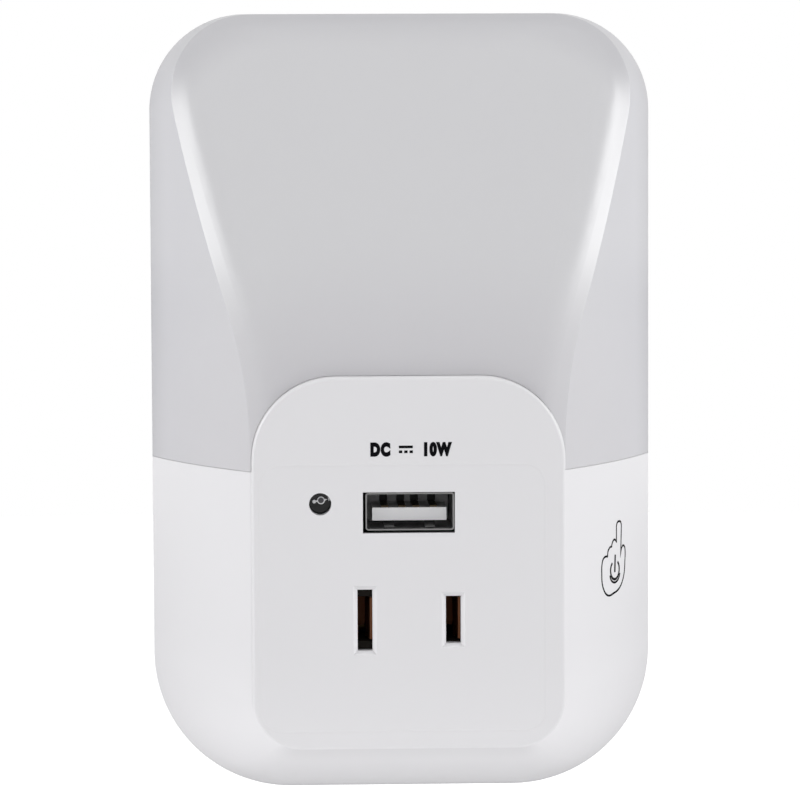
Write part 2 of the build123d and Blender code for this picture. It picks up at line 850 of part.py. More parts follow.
with BuildPart() as transformer_core:
    with BuildSketch(at_depth(board_back - core_depth)):
        with Locations((core_x, core_height_center)):
            Rectangle(core_width, core_height)
            Rectangle(core_width - 2 * core_limb, core_height - 2 * core_limb, mode=Mode.SUBTRACT)
            Rectangle(core_limb, core_height)
    extrude(amount=core_depth)
shade(transformer_core, 0.15, 0.15, 0.16)
finish(transformer_core, "transformer_core")

coil_half_height = core_height / 2 - core_limb - coil_gap
with BuildPart() as transformer_coil:
    with BuildSketch(at_depth(board_back - core_depth)):
        with Locations((core_x, core_height_center)):
            Rectangle(core_width - 2 * core_limb - 2 * coil_gap, 2 * coil_half_height)
            Rectangle(core_limb + 2 * coil_gap, 2 * coil_half_height, mode=Mode.SUBTRACT)
    extrude(amount=core_depth)
shade(transformer_coil, 0.85, 0.75, 0.25)
finish(transformer_coil, "transformer_coil")


def can(x, z, radius, length):
    """A round capacitor that stands on the back of the power board."""
    with BuildPart() as piece:
        with BuildSketch(at_depth(board_back - length)):
            with Locations((x, z)):
                Circle(radius)
        extrude(amount=length)
        chamfer(piece.faces().sort_by(Axis.Y)[-1].edges(), can_edge)
    return piece


def chip(x, z, width, height, thickness):
    """A flat moulded part on the back of the power board."""
    with BuildPart() as piece:
        with BuildSketch(at_depth(board_back - thickness)):
            with Locations((x, z)):
                Rectangle(width, height)
        extrude(amount=thickness)
    return piece


bulk_capacitor = can(bulk_x, bulk_height, bulk_radius, bulk_length)
shade(bulk_capacitor, 0.12, 0.14, 0.20)
finish(bulk_capacitor, "bulk_capacitor")
output_capacitor = can(output_x, output_height, output_radius, output_length)
shade(output_capacitor, 0.12, 0.14, 0.20)
finish(output_capacitor, "output_capacitor")
bridge_rectifier = chip(bridge_x, row_height, bridge_width, bridge_height, bridge_thickness)
shade(bridge_rectifier, 0.10, 0.10, 0.10)
finish(bridge_rectifier, "bridge_rectifier")
controller_chip = chip(chip_x, row_height, chip_width, chip_height, chip_thickness)
shade(controller_chip, 0.10, 0.10, 0.10)
finish(controller_chip, "controller_chip")

with BuildPart() as safety_capacitor:
    with BuildSketch(Plane.YZ.offset(safety_x - safety_thickness / 2)):
        with Locations((-board_back + safety_radius, safety_height)):
            Circle(safety_radius)
    extrude(amount=safety_thickness)
    chamfer(safety_capacitor.edges().filter_by(GeomType.CIRCLE), can_edge)
shade(safety_capacitor, 0.20, 0.40, 0.65)
finish(safety_capacitor, "safety_capacitor")

with BuildPart() as fuse_resistor:
    with BuildSketch(Plane.YZ.offset(resistor_x - resistor_length / 2)):
        with Locations((-board_back + resistor_radius, row_height)):
            Circle(resistor_radius)
    extrude(amount=resistor_length)
    chamfer(fuse_resistor.edges().filter_by(GeomType.CIRCLE), can_edge)
shade(fuse_resistor, 0.35, 0.55, 0.40)
finish(fuse_resistor, "fuse_resistor")

# --- lamp board -------------------------------------------------------------------------------
led_board = board(led_board_depth, led_board_width / 2, led_board_bottom, led_board_top, led_screw_spots)
shade(led_board, 0.93, 0.93, 0.92)
finish(led_board, "led_board")

with BuildPart() as led_chips:
    with BuildSketch(at_depth(led_front)):
        with Locations((0, led_center_height)):
            with GridLocations(led_spacing, 0, led_count, 1):
                Rectangle(led_width, led_height)
    extrude(amount=led_thickness)
shade(led_chips, 0.95, 0.85, 0.40)
finish(led_chips, "led_chips")

with BuildPart() as led_resistors:
    with BuildSketch(at_depth(led_front)):
        with Locations((0, led_center_height - led_resistor_drop)):
            with GridLocations(led_spacing, 0, led_count, 1):
                Rectangle(led_resistor_width, led_resistor_height)
    extrude(amount=led_resistor_thickness)
shade(led_resistors, 0.10, 0.10, 0.10)
finish(led_resistors, "led_resistors")

with BuildPart() as led_board_screws:
    with BuildSketch(at_depth(led_front)):
        with Locations(*led_screw_spots):
            Circle(small_head_radius)
    extrude(amount=small_head_height)
    with BuildSketch(at_depth(led_front)):
        with Locations(*led_screw_spots):
            Circle(small_screw_radius)
    extrude(amount=-small_screw_grip)
shade(led_board_screws, 0.60, 0.60, 0.62)
finish(led_board_screws, "led_board_screws")

# --- touch electrode --------------------------------------------------------------------------
# A foil that follows the inside of the right wall.
with BuildPart() as pad_window:
    with BuildSketch(Plane.YZ):
        with Locations((-(touch_pad_front + touch_pad_back) / 2, (touch_pad_top + touch_pad_bottom) / 2)):
            Rectangle(touch_pad_front - touch_pad_back, touch_pad_top - touch_pad_bottom)
    extrude(amount=body_width)

with BuildPart() as touch_pad:
    add(body_form(shell_wall + touch_pad_play))
    add(body_form(shell_wall + touch_pad_play + touch_pad_thickness), mode=Mode.SUBTRACT)
    add(pad_window.part, mode=Mode.INTERSECT)
shade(touch_pad, 0.75, 0.50, 0.32)
finish(touch_pad, "touch_pad")


# --- wires ------------------------------------------------------------------------------------
def wire(points, bend, radius):
    """A thin wire along straight runs joined by tangent bends, with as many flats as it needs."""
    with BuildPart() as piece:
        with BuildLine() as route:
            FilletPolyline(*points, radius=bend)
        with BuildSketch(Plane(origin=route.line @ 0, z_dir=route.line % 0)):
            RegularPolygon(radius, wire_sides)
        sweep()
    return piece


def mains_wire(x):
    """From the root of a contact's flat leaf up to the back of the power board."""
    leaf_x = x - flat_leaf_offset - leaf_thickness / 2
    points = [
        (leaf_x, -mains_wire_depth, leaf_height / 2),
        (leaf_x, -mains_wire_depth, mains_wire_height),
        (leaf_x, -board_back, mains_wire_height),
    ]
    return wire(points, wire_bend, wire_radius)


neutral_wire = mains_wire(neutral_x)
shade(neutral_wire, 0.92, 0.92, 0.90)
finish(neutral_wire, "neutral_wire")
line_wire = mains_wire(line_x)
shade(line_wire, 0.12, 0.12, 0.12)
finish(line_wire, "line_wire")

with BuildPart() as led_wires:
    for x in (-led_wire_spacing / 2, led_wire_spacing / 2):
        points = [
            (x, -board_back, led_wire_foot),
            (x, -led_wire_depth, led_wire_foot),
            (x, -led_wire_depth, led_wire_end),
            (x, -led_front, led_wire_end),
        ]
        add(wire(points, thin_wire_bend, thin_wire_radius).part)
shade(led_wires, 0.75, 0.15, 0.12)
finish(led_wires, "led_wires")

touch_wire = wire(
    [
        (touch_wire_end, -mains_wire_depth, touch_wire_height),
        (touch_wire_x, -mains_wire_depth, touch_wire_height),
        (touch_wire_x, -mains_wire_depth, mains_wire_height),
        (touch_wire_x, -board_back, mains_wire_height),
    ],
    wire_bend,
    thin_wire_radius,
)
shade(touch_wire, 0.15, 0.35, 0.65)
finish(touch_wire, "touch_wire")
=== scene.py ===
from math import cos, pi, radians, sin

import bpy
from bpy.props import FloatProperty, FloatVectorProperty, IntProperty, PointerProperty, StringProperty
from bpy.types import Operator, Panel, PropertyGroup
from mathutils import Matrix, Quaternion, Vector


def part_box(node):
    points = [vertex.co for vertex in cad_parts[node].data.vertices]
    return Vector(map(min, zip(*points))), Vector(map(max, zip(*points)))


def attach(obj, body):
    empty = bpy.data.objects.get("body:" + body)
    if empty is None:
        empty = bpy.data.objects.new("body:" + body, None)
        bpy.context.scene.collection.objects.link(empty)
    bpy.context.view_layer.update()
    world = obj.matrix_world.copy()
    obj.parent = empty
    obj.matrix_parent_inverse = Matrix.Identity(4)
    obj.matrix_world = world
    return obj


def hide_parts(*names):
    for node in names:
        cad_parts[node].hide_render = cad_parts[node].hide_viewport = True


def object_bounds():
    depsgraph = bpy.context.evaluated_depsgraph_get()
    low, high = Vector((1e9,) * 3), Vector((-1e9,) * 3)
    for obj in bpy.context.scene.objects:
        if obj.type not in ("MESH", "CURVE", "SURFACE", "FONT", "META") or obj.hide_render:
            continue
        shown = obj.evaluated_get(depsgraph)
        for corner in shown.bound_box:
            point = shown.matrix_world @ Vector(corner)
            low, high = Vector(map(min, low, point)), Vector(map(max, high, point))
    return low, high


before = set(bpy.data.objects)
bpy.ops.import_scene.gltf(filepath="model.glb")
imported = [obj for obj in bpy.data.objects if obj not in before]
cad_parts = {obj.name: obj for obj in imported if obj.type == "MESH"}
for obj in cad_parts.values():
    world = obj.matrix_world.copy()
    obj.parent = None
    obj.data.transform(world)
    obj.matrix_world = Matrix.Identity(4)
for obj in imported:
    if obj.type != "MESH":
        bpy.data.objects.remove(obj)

# Plug-in night light: the finish of every piece, the printed marks, the screws' drives, the light
# sensor's face and the studio. Metres; +Z is up, and the front of the lamp faces -Y.

bl_info = {
    "name": "Plug-in Night Light",
    "version": (1, 0, 0),
    "blender": (4, 5, 0),
    "location": "View3D > Sidebar > Night Light",
    "description": "Dresses a plug-in night light with an outlet and a USB socket",
    "category": "Object",
}

CAD_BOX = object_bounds()
MM = 0.001
REACH = 0.3  # longer than the lamp, for rays and clearances
QUARTER = radians(90)
BLOCK_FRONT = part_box("front_housing")[0].y


# --- sizes and colours that a user would change ---
def millimetres(description, default):
    """A length in metres, given in millimetres."""
    return FloatProperty(description=description, default=default * MM, unit="LENGTH", precision=5)


def degrees(description, default):
    """An angle in radians, given in degrees."""
    return FloatProperty(description=description, default=radians(default), subtype="ANGLE")


def number(description, default):
    """A plain number that is never below zero, such as a brightness or a share."""
    return FloatProperty(description=description, default=default, min=0)


def tint(description, *default):
    """A colour as linear red, green and blue."""
    return FloatVectorProperty(description=description, default=default, subtype="COLOR", min=0, max=1)


class NightLightCamera(PropertyGroup):
    """Where the camera stands."""

    azimuth: degrees("Turn of the view to the right of straight ahead", 1.984)
    elevation: degrees("Height of the camera above the horizon", 3.974)
    roll: degrees("Turn about the line of sight", -0.257)
    distance: millimetres("From the camera to its aim", 549.1)
    aim: FloatVectorProperty(
        description="The point that the camera looks at",
        default=(-0.65 * MM, -19.87 * MM, 30.56 * MM),
        subtype="TRANSLATION",
    )
    lens: number("Focal length on a 36 mm sensor", 167.86)


class NightLightStudio(PropertyGroup):
    """The floor and the lamps. A brightness of 1 is white."""

    floor_gap: millimetres("From the lowest point of the lamp to the floor", 45)
    floor_radius: millimetres("Half the floor's width", 900)
    floor_glow: number("Brightness that the floor adds to the lamp's light", 0.51)
    floor_lift: number("Brightness added where the camera sees the floor", 0.75)
    surround: number("Brightness of the room around the lamp", 0.31)
    left_box: number("Brightness of the soft box at the left", 8.1)
    right_box: number("Brightness of the soft box at the right", 8.9)
    top_box: number("Brightness of the wide soft box overhead", 0.57)
    fill_box: number("Brightness of the wide soft box in front", 0.08)


class NightLightShells(PropertyGroup):
    """The moulded shells."""

    housing: tint("Colour of the opaque white mouldings", 0.756, 0.750, 0.769)
    housing_shade: tint("Its slightly darker flow marks", 0.741, 0.735, 0.755)
    # painted light: the paler colour of the housing's foot
    housing_foot_lit: tint("Its colour towards the lower end", 0.808, 0.801, 0.822)
    diffuser: tint("Colour of the milky shell", 0.624, 0.623, 0.640)
    # painted shade along the diffuser's outline
    diffuser_outline_shade: tint("Its colour along the outline", 0.550, 0.547, 0.570)
    # painted shade on the diffuser's side walls
    diffuser_wall_shade: tint("Its colour on the side walls", 0.562, 0.560, 0.588)
    # painted shade: the diffuser's colour round the outlet block
    diffuser_shade: tint("Its colour round the block", 0.583, 0.577, 0.600)
    cover: tint("Colour of the rear cover", 0.724, 0.732, 0.749)


class NightLightMarks(PropertyGroup):
    """The printed marks."""

    left_text: StringProperty(description="The rating's left half", default="DC")
    right_text: StringProperty(description="The rating's right half", default="10W")
    letter_height: millimetres("Height of the figures", 2.08)
    marking_height: millimetres("Centre of the marking above the blades", 24.6)
    marking_x: millimetres("Centre of the marking to the right of the middle", 0.35)
    ink_thickness: millimetres("How far the ink stands proud", 0.02)
    symbol_line: millimetres("Width of the touch symbol's outline", 0.30)
    symbol_depth: millimetres("From the wall to the symbol's middle", 19.3)
    symbol_height: millimetres("The symbol's middle above the blades", 6.77)
    ink: tint("Colour of the figures", 0.003, 0.003, 0.004)
    symbol_ink: tint("Colour of the touch symbol", 0.005, 0.005, 0.006)


class NightLightSensor(PropertyGroup):
    """The lead frame that shows in the light sensor."""

    cup_radius: millimetres("Radius of the round cup that holds the chip", 0.40)
    rim_radius: millimetres("Outer radius of the plate round the cup", 0.56)
    terminal_radius: millimetres("Radius of the left terminal", 0.27)
    thickness: millimetres("Thickness of the lead frame", 0.08)
    tilt: degrees("Turn of the lead frame", 9.6)


class NightLightScrews(PropertyGroup):
    """The screws."""

    sides: IntProperty(description="Flats round a screw's head", default=48, min=12)
    slot_width: number("Drive width as a share of the head's radius", 0.26)
    slot_depth: number("Drive depth as a share of the head's height", 0.60)
    pitch: millimetres("Distance between two turns of thread", 0.9)
    steel: tint("Colour of the plated screws", 0.62, 0.62, 0.61)


SETTINGS = {
    "night_light_camera": NightLightCamera,
    "night_light_studio": NightLightStudio,
    "night_light_shells": NightLightShells,
    "night_light_marks": NightLightMarks,
    "night_light_sensor": NightLightSensor,
    "night_light_screws": NightLightScrews,
}


# --- modelling helpers ---
def change_mode(mode):
    """Enters object mode or edit mode."""
    bpy.ops.object.mode_set(mode=mode)


def start_clean():
    """Object mode with nothing selected, ready for a new primitive."""
    if bpy.context.mode != "OBJECT":
        change_mode("OBJECT")
    bpy.ops.object.select_all(action="DESELECT")


def select_only(*pieces):
    """Leaves just these objects selected, in object mode, with the first one active."""
    start_clean()
    for piece in pieces:
        piece.select_set(True)
    bpy.context.view_layer.objects.active = pieces[0]


def edit_faces(piece, wanted):
    """Enters edit mode with the faces selected that pass a test of centre and normal."""
    select_only(piece)
    change_mode("EDIT")
    bpy.ops.mesh.select_mode(type="FACE")
    bpy.ops.mesh.select_all(action="DESELECT")
    change_mode("OBJECT")
    for face in piece.data.polygons:
        face.select = wanted(face.center, face.normal)
    change_mode("EDIT")


def apply_place(piece):
    """Moves a piece's place, turn and size into its mesh."""
    select_only(piece)
    bpy.ops.object.transform_apply(location=True, rotation=True, scale=True)


def face_outwards():
    """Turns all faces of the mesh in edit mode outwards and leaves edit mode."""
    bpy.ops.mesh.select_all(action="SELECT")
    bpy.ops.mesh.normals_make_consistent(inside=False)
    change_mode("OBJECT")


def settle(piece, smooth_angle=radians(35)):
    """Applies a piece's place, cleans its mesh, shades it and returns it."""
    apply_place(piece)
    change_mode("EDIT")
    bpy.ops.mesh.select_all(action="SELECT")
    bpy.ops.mesh.remove_doubles(threshold=0.0005 * MM)
    face_outwards()
    bpy.ops.object.shade_smooth_by_angle(angle=smooth_angle)
    return piece


def apply_modifier(piece, kind, **settings):
    """Adds one modifier and applies it."""
    select_only(piece)
    modifier = piece.modifiers.new(kind.lower(), kind)
    for name, value in settings.items():
        setattr(modifier, name, value)
    bpy.ops.object.modifier_apply(modifier=modifier.name)


def soften(piece, width, segments=2):
    """Rounds a piece's sharp edges."""
    apply_modifier(piece, "BEVEL", width=width, segments=segments, limit_method="ANGLE")


def combine(piece, other, operation):
    """Adds another object to a piece or takes it away from the piece."""
    settle(other)
    apply_modifier(piece, "BOOLEAN", operation=operation, object=other, solver="EXACT")
    bpy.data.objects.remove(other)


def join(first, *others):
    """Joins other objects to the first one and returns it."""
    select_only(first, *others)
    bpy.ops.object.join()
    return first


def add_cube(centre, size, turn=(0, 0, 0)):
    """A box with a centre, a size along each axis and a turn."""
    start_clean()
    bpy.ops.mesh.primitive_cube_add(size=1, location=centre, rotation=turn, scale=size)
    return bpy.context.object


def add_rod(centre, radius, length, sides=48):
    """A round rod or disc along Y."""
    start_clean()
    bpy.ops.mesh.primitive_cylinder_add(
        vertices=sides, radius=radius, depth=length, location=centre, rotation=(QUARTER, 0, 0)
    )
    return bpy.context.object


def add_circle(centre, radius, sides, turn=(0, 0, 0)):
    """A filled circle, flat unless it is turned."""
    start_clean()
    bpy.ops.mesh.primitive_circle_add(
        vertices=sides, radius=radius, fill_type="NGON", location=centre, rotation=turn
    )
    return bpy.context.object


def islands(node):
    """The lowest and the highest corner of each separate solid of a node."""
    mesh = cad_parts[node].data
    slack = Vector((MM, MM, MM)) / 1000
    found = []
    for face in mesh.polygons:
        corners = [mesh.vertices[v].co for v in face.vertices]
        low, high = Vector(map(min, *corners)), Vector(map(max, *corners))
        near_low, near_high = low - slack, high + slack
        for box in found[:]:
            if all(box[0][i] <= near_high[i] and near_low[i] <= box[1][i] for i in range(3)):
                low, high = Vector(map(min, low, box[0])), Vector(map(max, high, box[1]))
                found.remove(box)
        found.append((low, high))
    return sorted(found, key=lambda box: (round(box[0].z, 5), box[0].x))


def finish_piece(piece, name, material, replaces=()):
    """Names a finished piece, gives it its material and lets it ride with the lamp."""
    piece.name = name
    piece.data.name = name
    piece.data.materials.clear()
    piece.data.materials.append(material)
    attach(piece, "root")
    if replaces:
        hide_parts(*replaces)


def dress(material, *nodes):
    """Gives carried-over nodes their finished material."""
    for node in nodes:
        for material_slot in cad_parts[node].material_slots:
            material_slot.material = material


# --- shader helpers ---
def empty_tree(owner):
    """The emptied node tree of a new material or world."""
    owner.use_nodes = True
    owner.node_tree.nodes.clear()
    return owner.node_tree


def place_value(tree, socket, value):
    """Sets a socket to a value, or links it to another node's socket. Colours are made opaque."""
    if isinstance(value, bpy.types.NodeSocket):
        tree.links.new(value, socket)
    else:
        socket.default_value = (*value, 1.0) if socket.type == "RGBA" else value


def shader(tree, kind, inputs=None, **settings):
    """Adds a shader node and returns its outputs. An input is a value or a socket to link."""
    made = tree.nodes.new(f"ShaderNode{kind}")
    for name, value in settings.items():
        setattr(made, name, value)
    for key, value in (inputs or {}).items():
        place_value(tree, made.inputs[key], value)
    return made.outputs


def spaced(values):
    """Values by the names of their sockets, with spaces for underscores."""
    return {name.replace("_", " "): value for name, value in values.items()}


def feed(tree, sockets, **values):
    """Sets or links sockets by name."""
    for name, value in spaced(values).items():
        place_value(tree, sockets[name], value)


def maths(tree, operation, first, second=0.0, third=0.0):
    """The output of one math node."""
    return shader(tree, "Math", {0: first, 1: second, 2: third}, operation=operation)[0]


def ramp(tree, value, low, high, start=0.0, end=1.0, kind="LINEAR"):
    """Start where the value is low, end where it is high, and in between otherwise."""
    limits = {"Value": value, "From Min": low, "From Max": high, "To Min": start, "To Max": end}
    return shader(tree, "MapRange", limits, interpolation_type=kind)["Result"]


def blend(tree, share, first, second):
    """A mix of two colours. The node has sockets of four kinds; 6, 7 and 2 are those for colours."""
    return shader(tree, "Mix", {0: share, 6: first, 7: second}, data_type="RGBA")[2]


def noise(tree, place, size, detail):
    """Smooth noise with grains of a size."""
    scale = maths(tree, "DIVIDE", 1.0, size)
    return shader(tree, "TexNoise", {"Vector": place, "Scale": scale, "Detail": detail})["Fac"]


def bump(tree, distance, height, invert=False, **inputs):
    """The normal of a relief."""
    relief = {"Distance": distance, "Height": height, **inputs}
    return shader(tree, "Bump", relief, invert=invert)["Normal"]


def object_place(tree):
    """Object coordinates, which are the lamp's own metres."""
    return shader(tree, "TexCoord")["Object"]


def axes(tree, kind="Object"):
    """The X, Y and Z outputs of Object coordinates, or of another kind such as the normal."""
    return shader(tree, "SeparateXYZ", {0: shader(tree, "TexCoord")[kind]})


def scaled(colour, factor):
    """A colour that is darker or paler by a factor."""
    return [channel * factor for channel in colour]


SOCKET_KINDS = {3: "Vector", 4: "Color"}  # by how many numbers the value has
FINISH = {"Colour": "Color", "Roughness": "Float", "Normal": "Vector"}


def new_group(name, outputs, **inputs):
    """An empty node group. Returns it, what it is given and the sockets of its output node."""
    tree = bpy.data.node_groups.new(name, "ShaderNodeTree")
    for label, default in spaced(inputs).items():
        kind = SOCKET_KINDS[len(default)] if isinstance(default, tuple) else "Float"
        socket = tree.interface.new_socket(name=label, in_out="INPUT", socket_type=f"NodeSocket{kind}")
        socket.default_value = default
    for label, kind in outputs.items():
        tree.interface.new_socket(name=label, in_out="OUTPUT", socket_type=f"NodeSocket{kind}")
    given = tree.nodes.new("NodeGroupInput").outputs
    return tree, given, tree.nodes.new("NodeGroupOutput").inputs


GROUPS = {}


def use_group(tree, maker, **inputs):
    """Places a shared effect with its values. Its maker builds it when it is first asked for."""
    if maker not in GROUPS:
        GROUPS[maker] = maker()
    return shader(tree, "Group", spaced(inputs), node_tree=GROUPS[maker])


def moulded_group():
    """Moulded plastic: faint flow marks in the colour, a fine spark-eroded grain and its sheen."""
    tree, given, out = new_group(
        "moulded_plastic",
        FINISH,
        Colour=(0.8, 0.8, 0.8, 1),
        Shade=(0.7, 0.7, 0.7, 1),
        Flow_Size=20 * MM,
        Grain_Size=0.2 * MM,
        Grain_Height=0.004 * MM,
        Sheen_Low=0.3,
        Sheen_High=0.4,
    )
    place = object_place(tree)
    flow = noise(tree, place, given["Flow Size"], 2.0)
    grain = noise(tree, place, given["Grain Size"], 1.0)
    feed(
        tree,
        out,
        Colour=blend(tree, flow, given["Colour"], given["Shade"]),
        Roughness=ramp(tree, flow, 0.0, 1.0, given["Sheen Low"], given["Sheen High"]),
        Normal=bump(tree, given["Grain Height"], grain),
    )
    return tree


def drawn_group():
    """Drawn or rolled metal: streaks along one direction in the colour, sheen and relief."""
    tree, given, out = new_group(
        "drawn_metal",
        FINISH,
        Colour=(0.8, 0.8, 0.8, 1),
        Tarnish=(0.5, 0.5, 0.5, 1),
        Stretch=(1.0, 0.05, 1.0),
        Streak_Size=0.2 * MM,
        Tarnish_Size=4 * MM,
        Sheen_Low=0.2,
        Sheen_High=0.4,
        Relief=0.002 * MM,
    )
    place = object_place(tree)
    along = shader(tree, "VectorMath", {0: place, 1: given["Stretch"]}, operation="MULTIPLY")[0]
    streaks = noise(tree, along, given["Streak Size"], 2.0)
    patches = noise(tree, place, given["Tarnish Size"], 4.0)
    share = maths(tree, "MULTIPLY", patches, maths(tree, "MULTIPLY_ADD", streaks, 0.5, 0.5))
    feed(
        tree,
        out,
        Colour=blend(tree, share, given["Colour"], given["Tarnish"]),
        Roughness=ramp(tree, streaks, 0.0, 1.0, given["Sheen Low"], given["Sheen High"]),
        Normal=bump(tree, given["Relief"], streaks),
    )
    return tree


def frame_group():
    """Distance from an upright rounded rectangle seen from the front: negative inside it."""
    tree, given, out = new_group(
        "rounded_frame",
        {"Distance": "Float"},
        Centre_X=0.0,
        Centre_Z=0.0,
        Half_Width=20 * MM,
        Half_Height=20 * MM,
        Corner=5 * MM,
    )
    place = axes(tree)
    beyond = []
    for axis, centre, half in (("X", "Centre X", "Half Width"), ("Z", "Centre Z", "Half Height")):
        offset = maths(tree, "ABSOLUTE", maths(tree, "SUBTRACT", place[axis], given[centre]))
        straight = maths(tree, "SUBTRACT", given[half], given["Corner"])
        beyond.append(maths(tree, "SUBTRACT", offset, straight))
    across, up = (maths(tree, "MAXIMUM", value, 0.0) for value in beyond)
    squares = maths(tree, "MULTIPLY_ADD", across, across, maths(tree, "MULTIPLY", up, up))
    inside = maths(tree, "MINIMUM", maths(tree, "MAXIMUM", *beyond), 0.0)
    total = maths(tree, "ADD", maths(tree, "SQRT", squares), inside)
    feed(tree, out, Distance=maths(tree, "SUBTRACT", total, given["Corner"]))
    return tree


def frame_distance(tree, left, right, bottom, top, corner):
    """The distance from a rounded rectangle that is given by its sides."""
    return use_group(
        tree,
        frame_group,
        Centre_X=(left + right) / 2,
        Centre_Z=(bottom + top) / 2,
        Half_Width=(right - left) / 2,
        Half_Height=(top - bottom) / 2,
        Corner=corner,
    )["Distance"]


def moulded(tree, colour, shade, flow=15.0, grain=0.25, height=0.004, low=0.35, high=0.45):
    """The outputs of the moulded effect. Sizes in millimetres."""
    return use_group(
        tree,
        moulded_group,
        Colour=colour,
        Shade=shade,
        Flow_Size=flow * MM,
        Grain_Size=grain * MM,
        Grain_Height=height * MM,
        Sheen_Low=low,
        Sheen_High=high,
    )


def new_material(name):
    """An empty material. Returns it, its node tree and its Principled shader's inputs."""
    material = bpy.data.materials.new(name)
    tree = empty_tree(material)
    surface = tree.nodes.new("ShaderNodeBsdfPrincipled")
    shader(tree, "OutputMaterial", {"Surface": surface.outputs["BSDF"]})
    return material, tree, surface.inputs


def wear_finish(tree, made, surface, **values):
    """Gives a shader a finish group's colour, roughness and normal, and some values of its own."""
    feed(tree, surface, Base_Color=made["Colour"], Roughness=made["Roughness"])
    feed(tree, surface, Normal=made["Normal"], **values)


def plastic(name, colour, shade, ior=1.5, **look):
    """A moulded plastic. The look is what moulded() takes."""
    material, tree, surface = new_material(name)
    wear_finish(tree, moulded(tree, colour, shade, **look), surface, IOR=ior)
    return material


def metal(name, colour, tarnish, streak=0.15, patch=4.0, low=0.22, high=0.4):
    """A drawn or rolled metal. Sizes in millimetres."""
    material, tree, surface = new_material(name)
    made = use_group(
        tree,
        drawn_group,
        Colour=colour,
        Tarnish=tarnish,
        Streak_Size=streak * MM,
        Tarnish_Size=patch * MM,
        Sheen_Low=low,
        Sheen_High=high,
    )
    wear_finish(tree, made, surface, Metallic=1.0)
    return material


# --- finishes of the shells ---
# Left, right, bottom and top of the outlet block, and the radii of its corners.
BLOCK = (-22.5 * MM, 22.5 * MM, -18.7 * MM, 35.0 * MM)
BLOCK_TOP_CORNER = 12.0 * MM
BLOCK_FOOT_CORNER = 7.0 * MM
FRONT_DEPTH = 0.2 * MM  # what lies so close behind the block's front counts as its front

# The faint line that an insert in the mould leaves on the front of the outlet block.
WITNESS = (-21.4 * MM, 19.6 * MM, -16.0 * MM, 22.4 * MM)
WITNESS_CORNER = 3.0 * MM
WITNESS_WIDTH = 0.25 * MM
WITNESS_HEIGHT = 0.025 * MM

# Painted light makes the foot of the housing paler; painted shade dims it again along its lower edge, and
# a painted shadow dims it under the outlet block.
FOOT_TOP = -2.0 * MM
FOOT_END = -24.0 * MM
LOWER_SHADE_TOP = -28.0 * MM
FOOT_SHADOW = 3.5 * MM
PAINTED_SHADE_DIMNESS = 0.88
# The block's front goes without this share of the foot's painted light.
FRONT_SHARE = 0.5  # the block's front takes this much less of it
# The specks: one cell in so many has one, and their radius is a share of their spacing.
SPECK_COLOUR = (0.25, 0.25, 0.26)
SPECK_STRENGTH = 0.6
SPECK_SPACING = 9 * MM
SPECK_RADIUS = 0.013
SPECK_SHARE = 0.30


def speck_mask(tree):
    """Sparse tiny specks, such as dust in a moulding."""
    flat = shader(tree, "VectorMath", {0: object_place(tree), 1: (1, 0, 1)}, operation="MULTIPLY")[0]
    cells = shader(tree, "TexVoronoi", {"Vector": flat, "Scale": 1 / SPECK_SPACING})
    near = maths(tree, "LESS_THAN", cells["Distance"], SPECK_RADIUS)
    lot = shader(tree, "SeparateColor", {0: cells["Color"]})[0]
    return maths(tree, "MULTIPLY", near, maths(tree, "LESS_THAN", lot, SPECK_SHARE))


def housing_finish(shells):
    """Glossy white moulding with painted light on its foot, painted shade along its lower edge, a painted
    shadow under the outlet block and the witness line of the mould's insert.
    """
    material, tree, surface = new_material("housing_white")
    made = moulded(
        tree, shells.housing, shells.housing_shade, flow=30, grain=0.22, height=0.0015, low=0.30, high=0.38
    )
    place = axes(tree)
    on_front = maths(tree, "LESS_THAN", place["Y"], BLOCK_FRONT + FRONT_DEPTH)
    underside = ramp(tree, axes(tree, "Normal")["Z"], -0.92, -0.8, 1.0, 0.0)
    beside = maths(tree, "SUBTRACT", 1.0, underside)
    kept = maths(tree, "MULTIPLY_ADD", on_front, -FRONT_SHARE, beside)
    # painted light: the foot fades towards a paler colour, less on the block's front and not on faces that
    # look down
    foot = ramp(tree, place["Z"], FOOT_END, FOOT_TOP, 1.0, 0.0, "SMOOTHSTEP")
    foot = maths(tree, "MULTIPLY", foot, kept)
    white = blend(tree, foot, made["Colour"], shells.housing_foot_lit)
    # painted shadow on the faces that look down under the outlet block
    from_block = frame_distance(tree, *BLOCK, BLOCK_FOOT_CORNER)
    shadow_under_block = ramp(tree, from_block, 0.0, FOOT_SHADOW, 1.0, 0.0, "SMOOTHSTEP")
    # painted shade along the lower edge
    lower_edge_shade = ramp(tree, place["Z"], CAD_BOX[0].z, LOWER_SHADE_TOP, 1.0, 0.0)
    painted_shade = maths(tree, "MULTIPLY", underside, maths(tree, "MAXIMUM", shadow_under_block, lower_edge_shade))
    white = blend(tree, painted_shade, white, scaled(shells.housing, PAINTED_SHADE_DIMNESS))
    specks = maths(tree, "MULTIPLY", speck_mask(tree), SPECK_STRENGTH)
    from_line = maths(tree, "ABSOLUTE", frame_distance(tree, *WITNESS, WITNESS_CORNER))
    ridge = ramp(tree, from_line, 0.0, WITNESS_WIDTH, 1.0, 0.0, "SMOOTHSTEP")
    line = maths(tree, "MULTIPLY", ridge, on_front)
    feed(
        tree,
        surface,
        Base_Color=blend(tree, specks, white, SPECK_COLOUR),
        Roughness=made["Roughness"],
        Normal=bump(tree, WITNESS_HEIGHT, line, Normal=made["Normal"]),
        IOR=1.53,
    )
    return material


# Painted shade round the outlet block: ARCH_FADE is how far round the block it darkens the diffuser.
ARCH_FADE = 24.0 * MM  # how far round the block the diffuser is darker
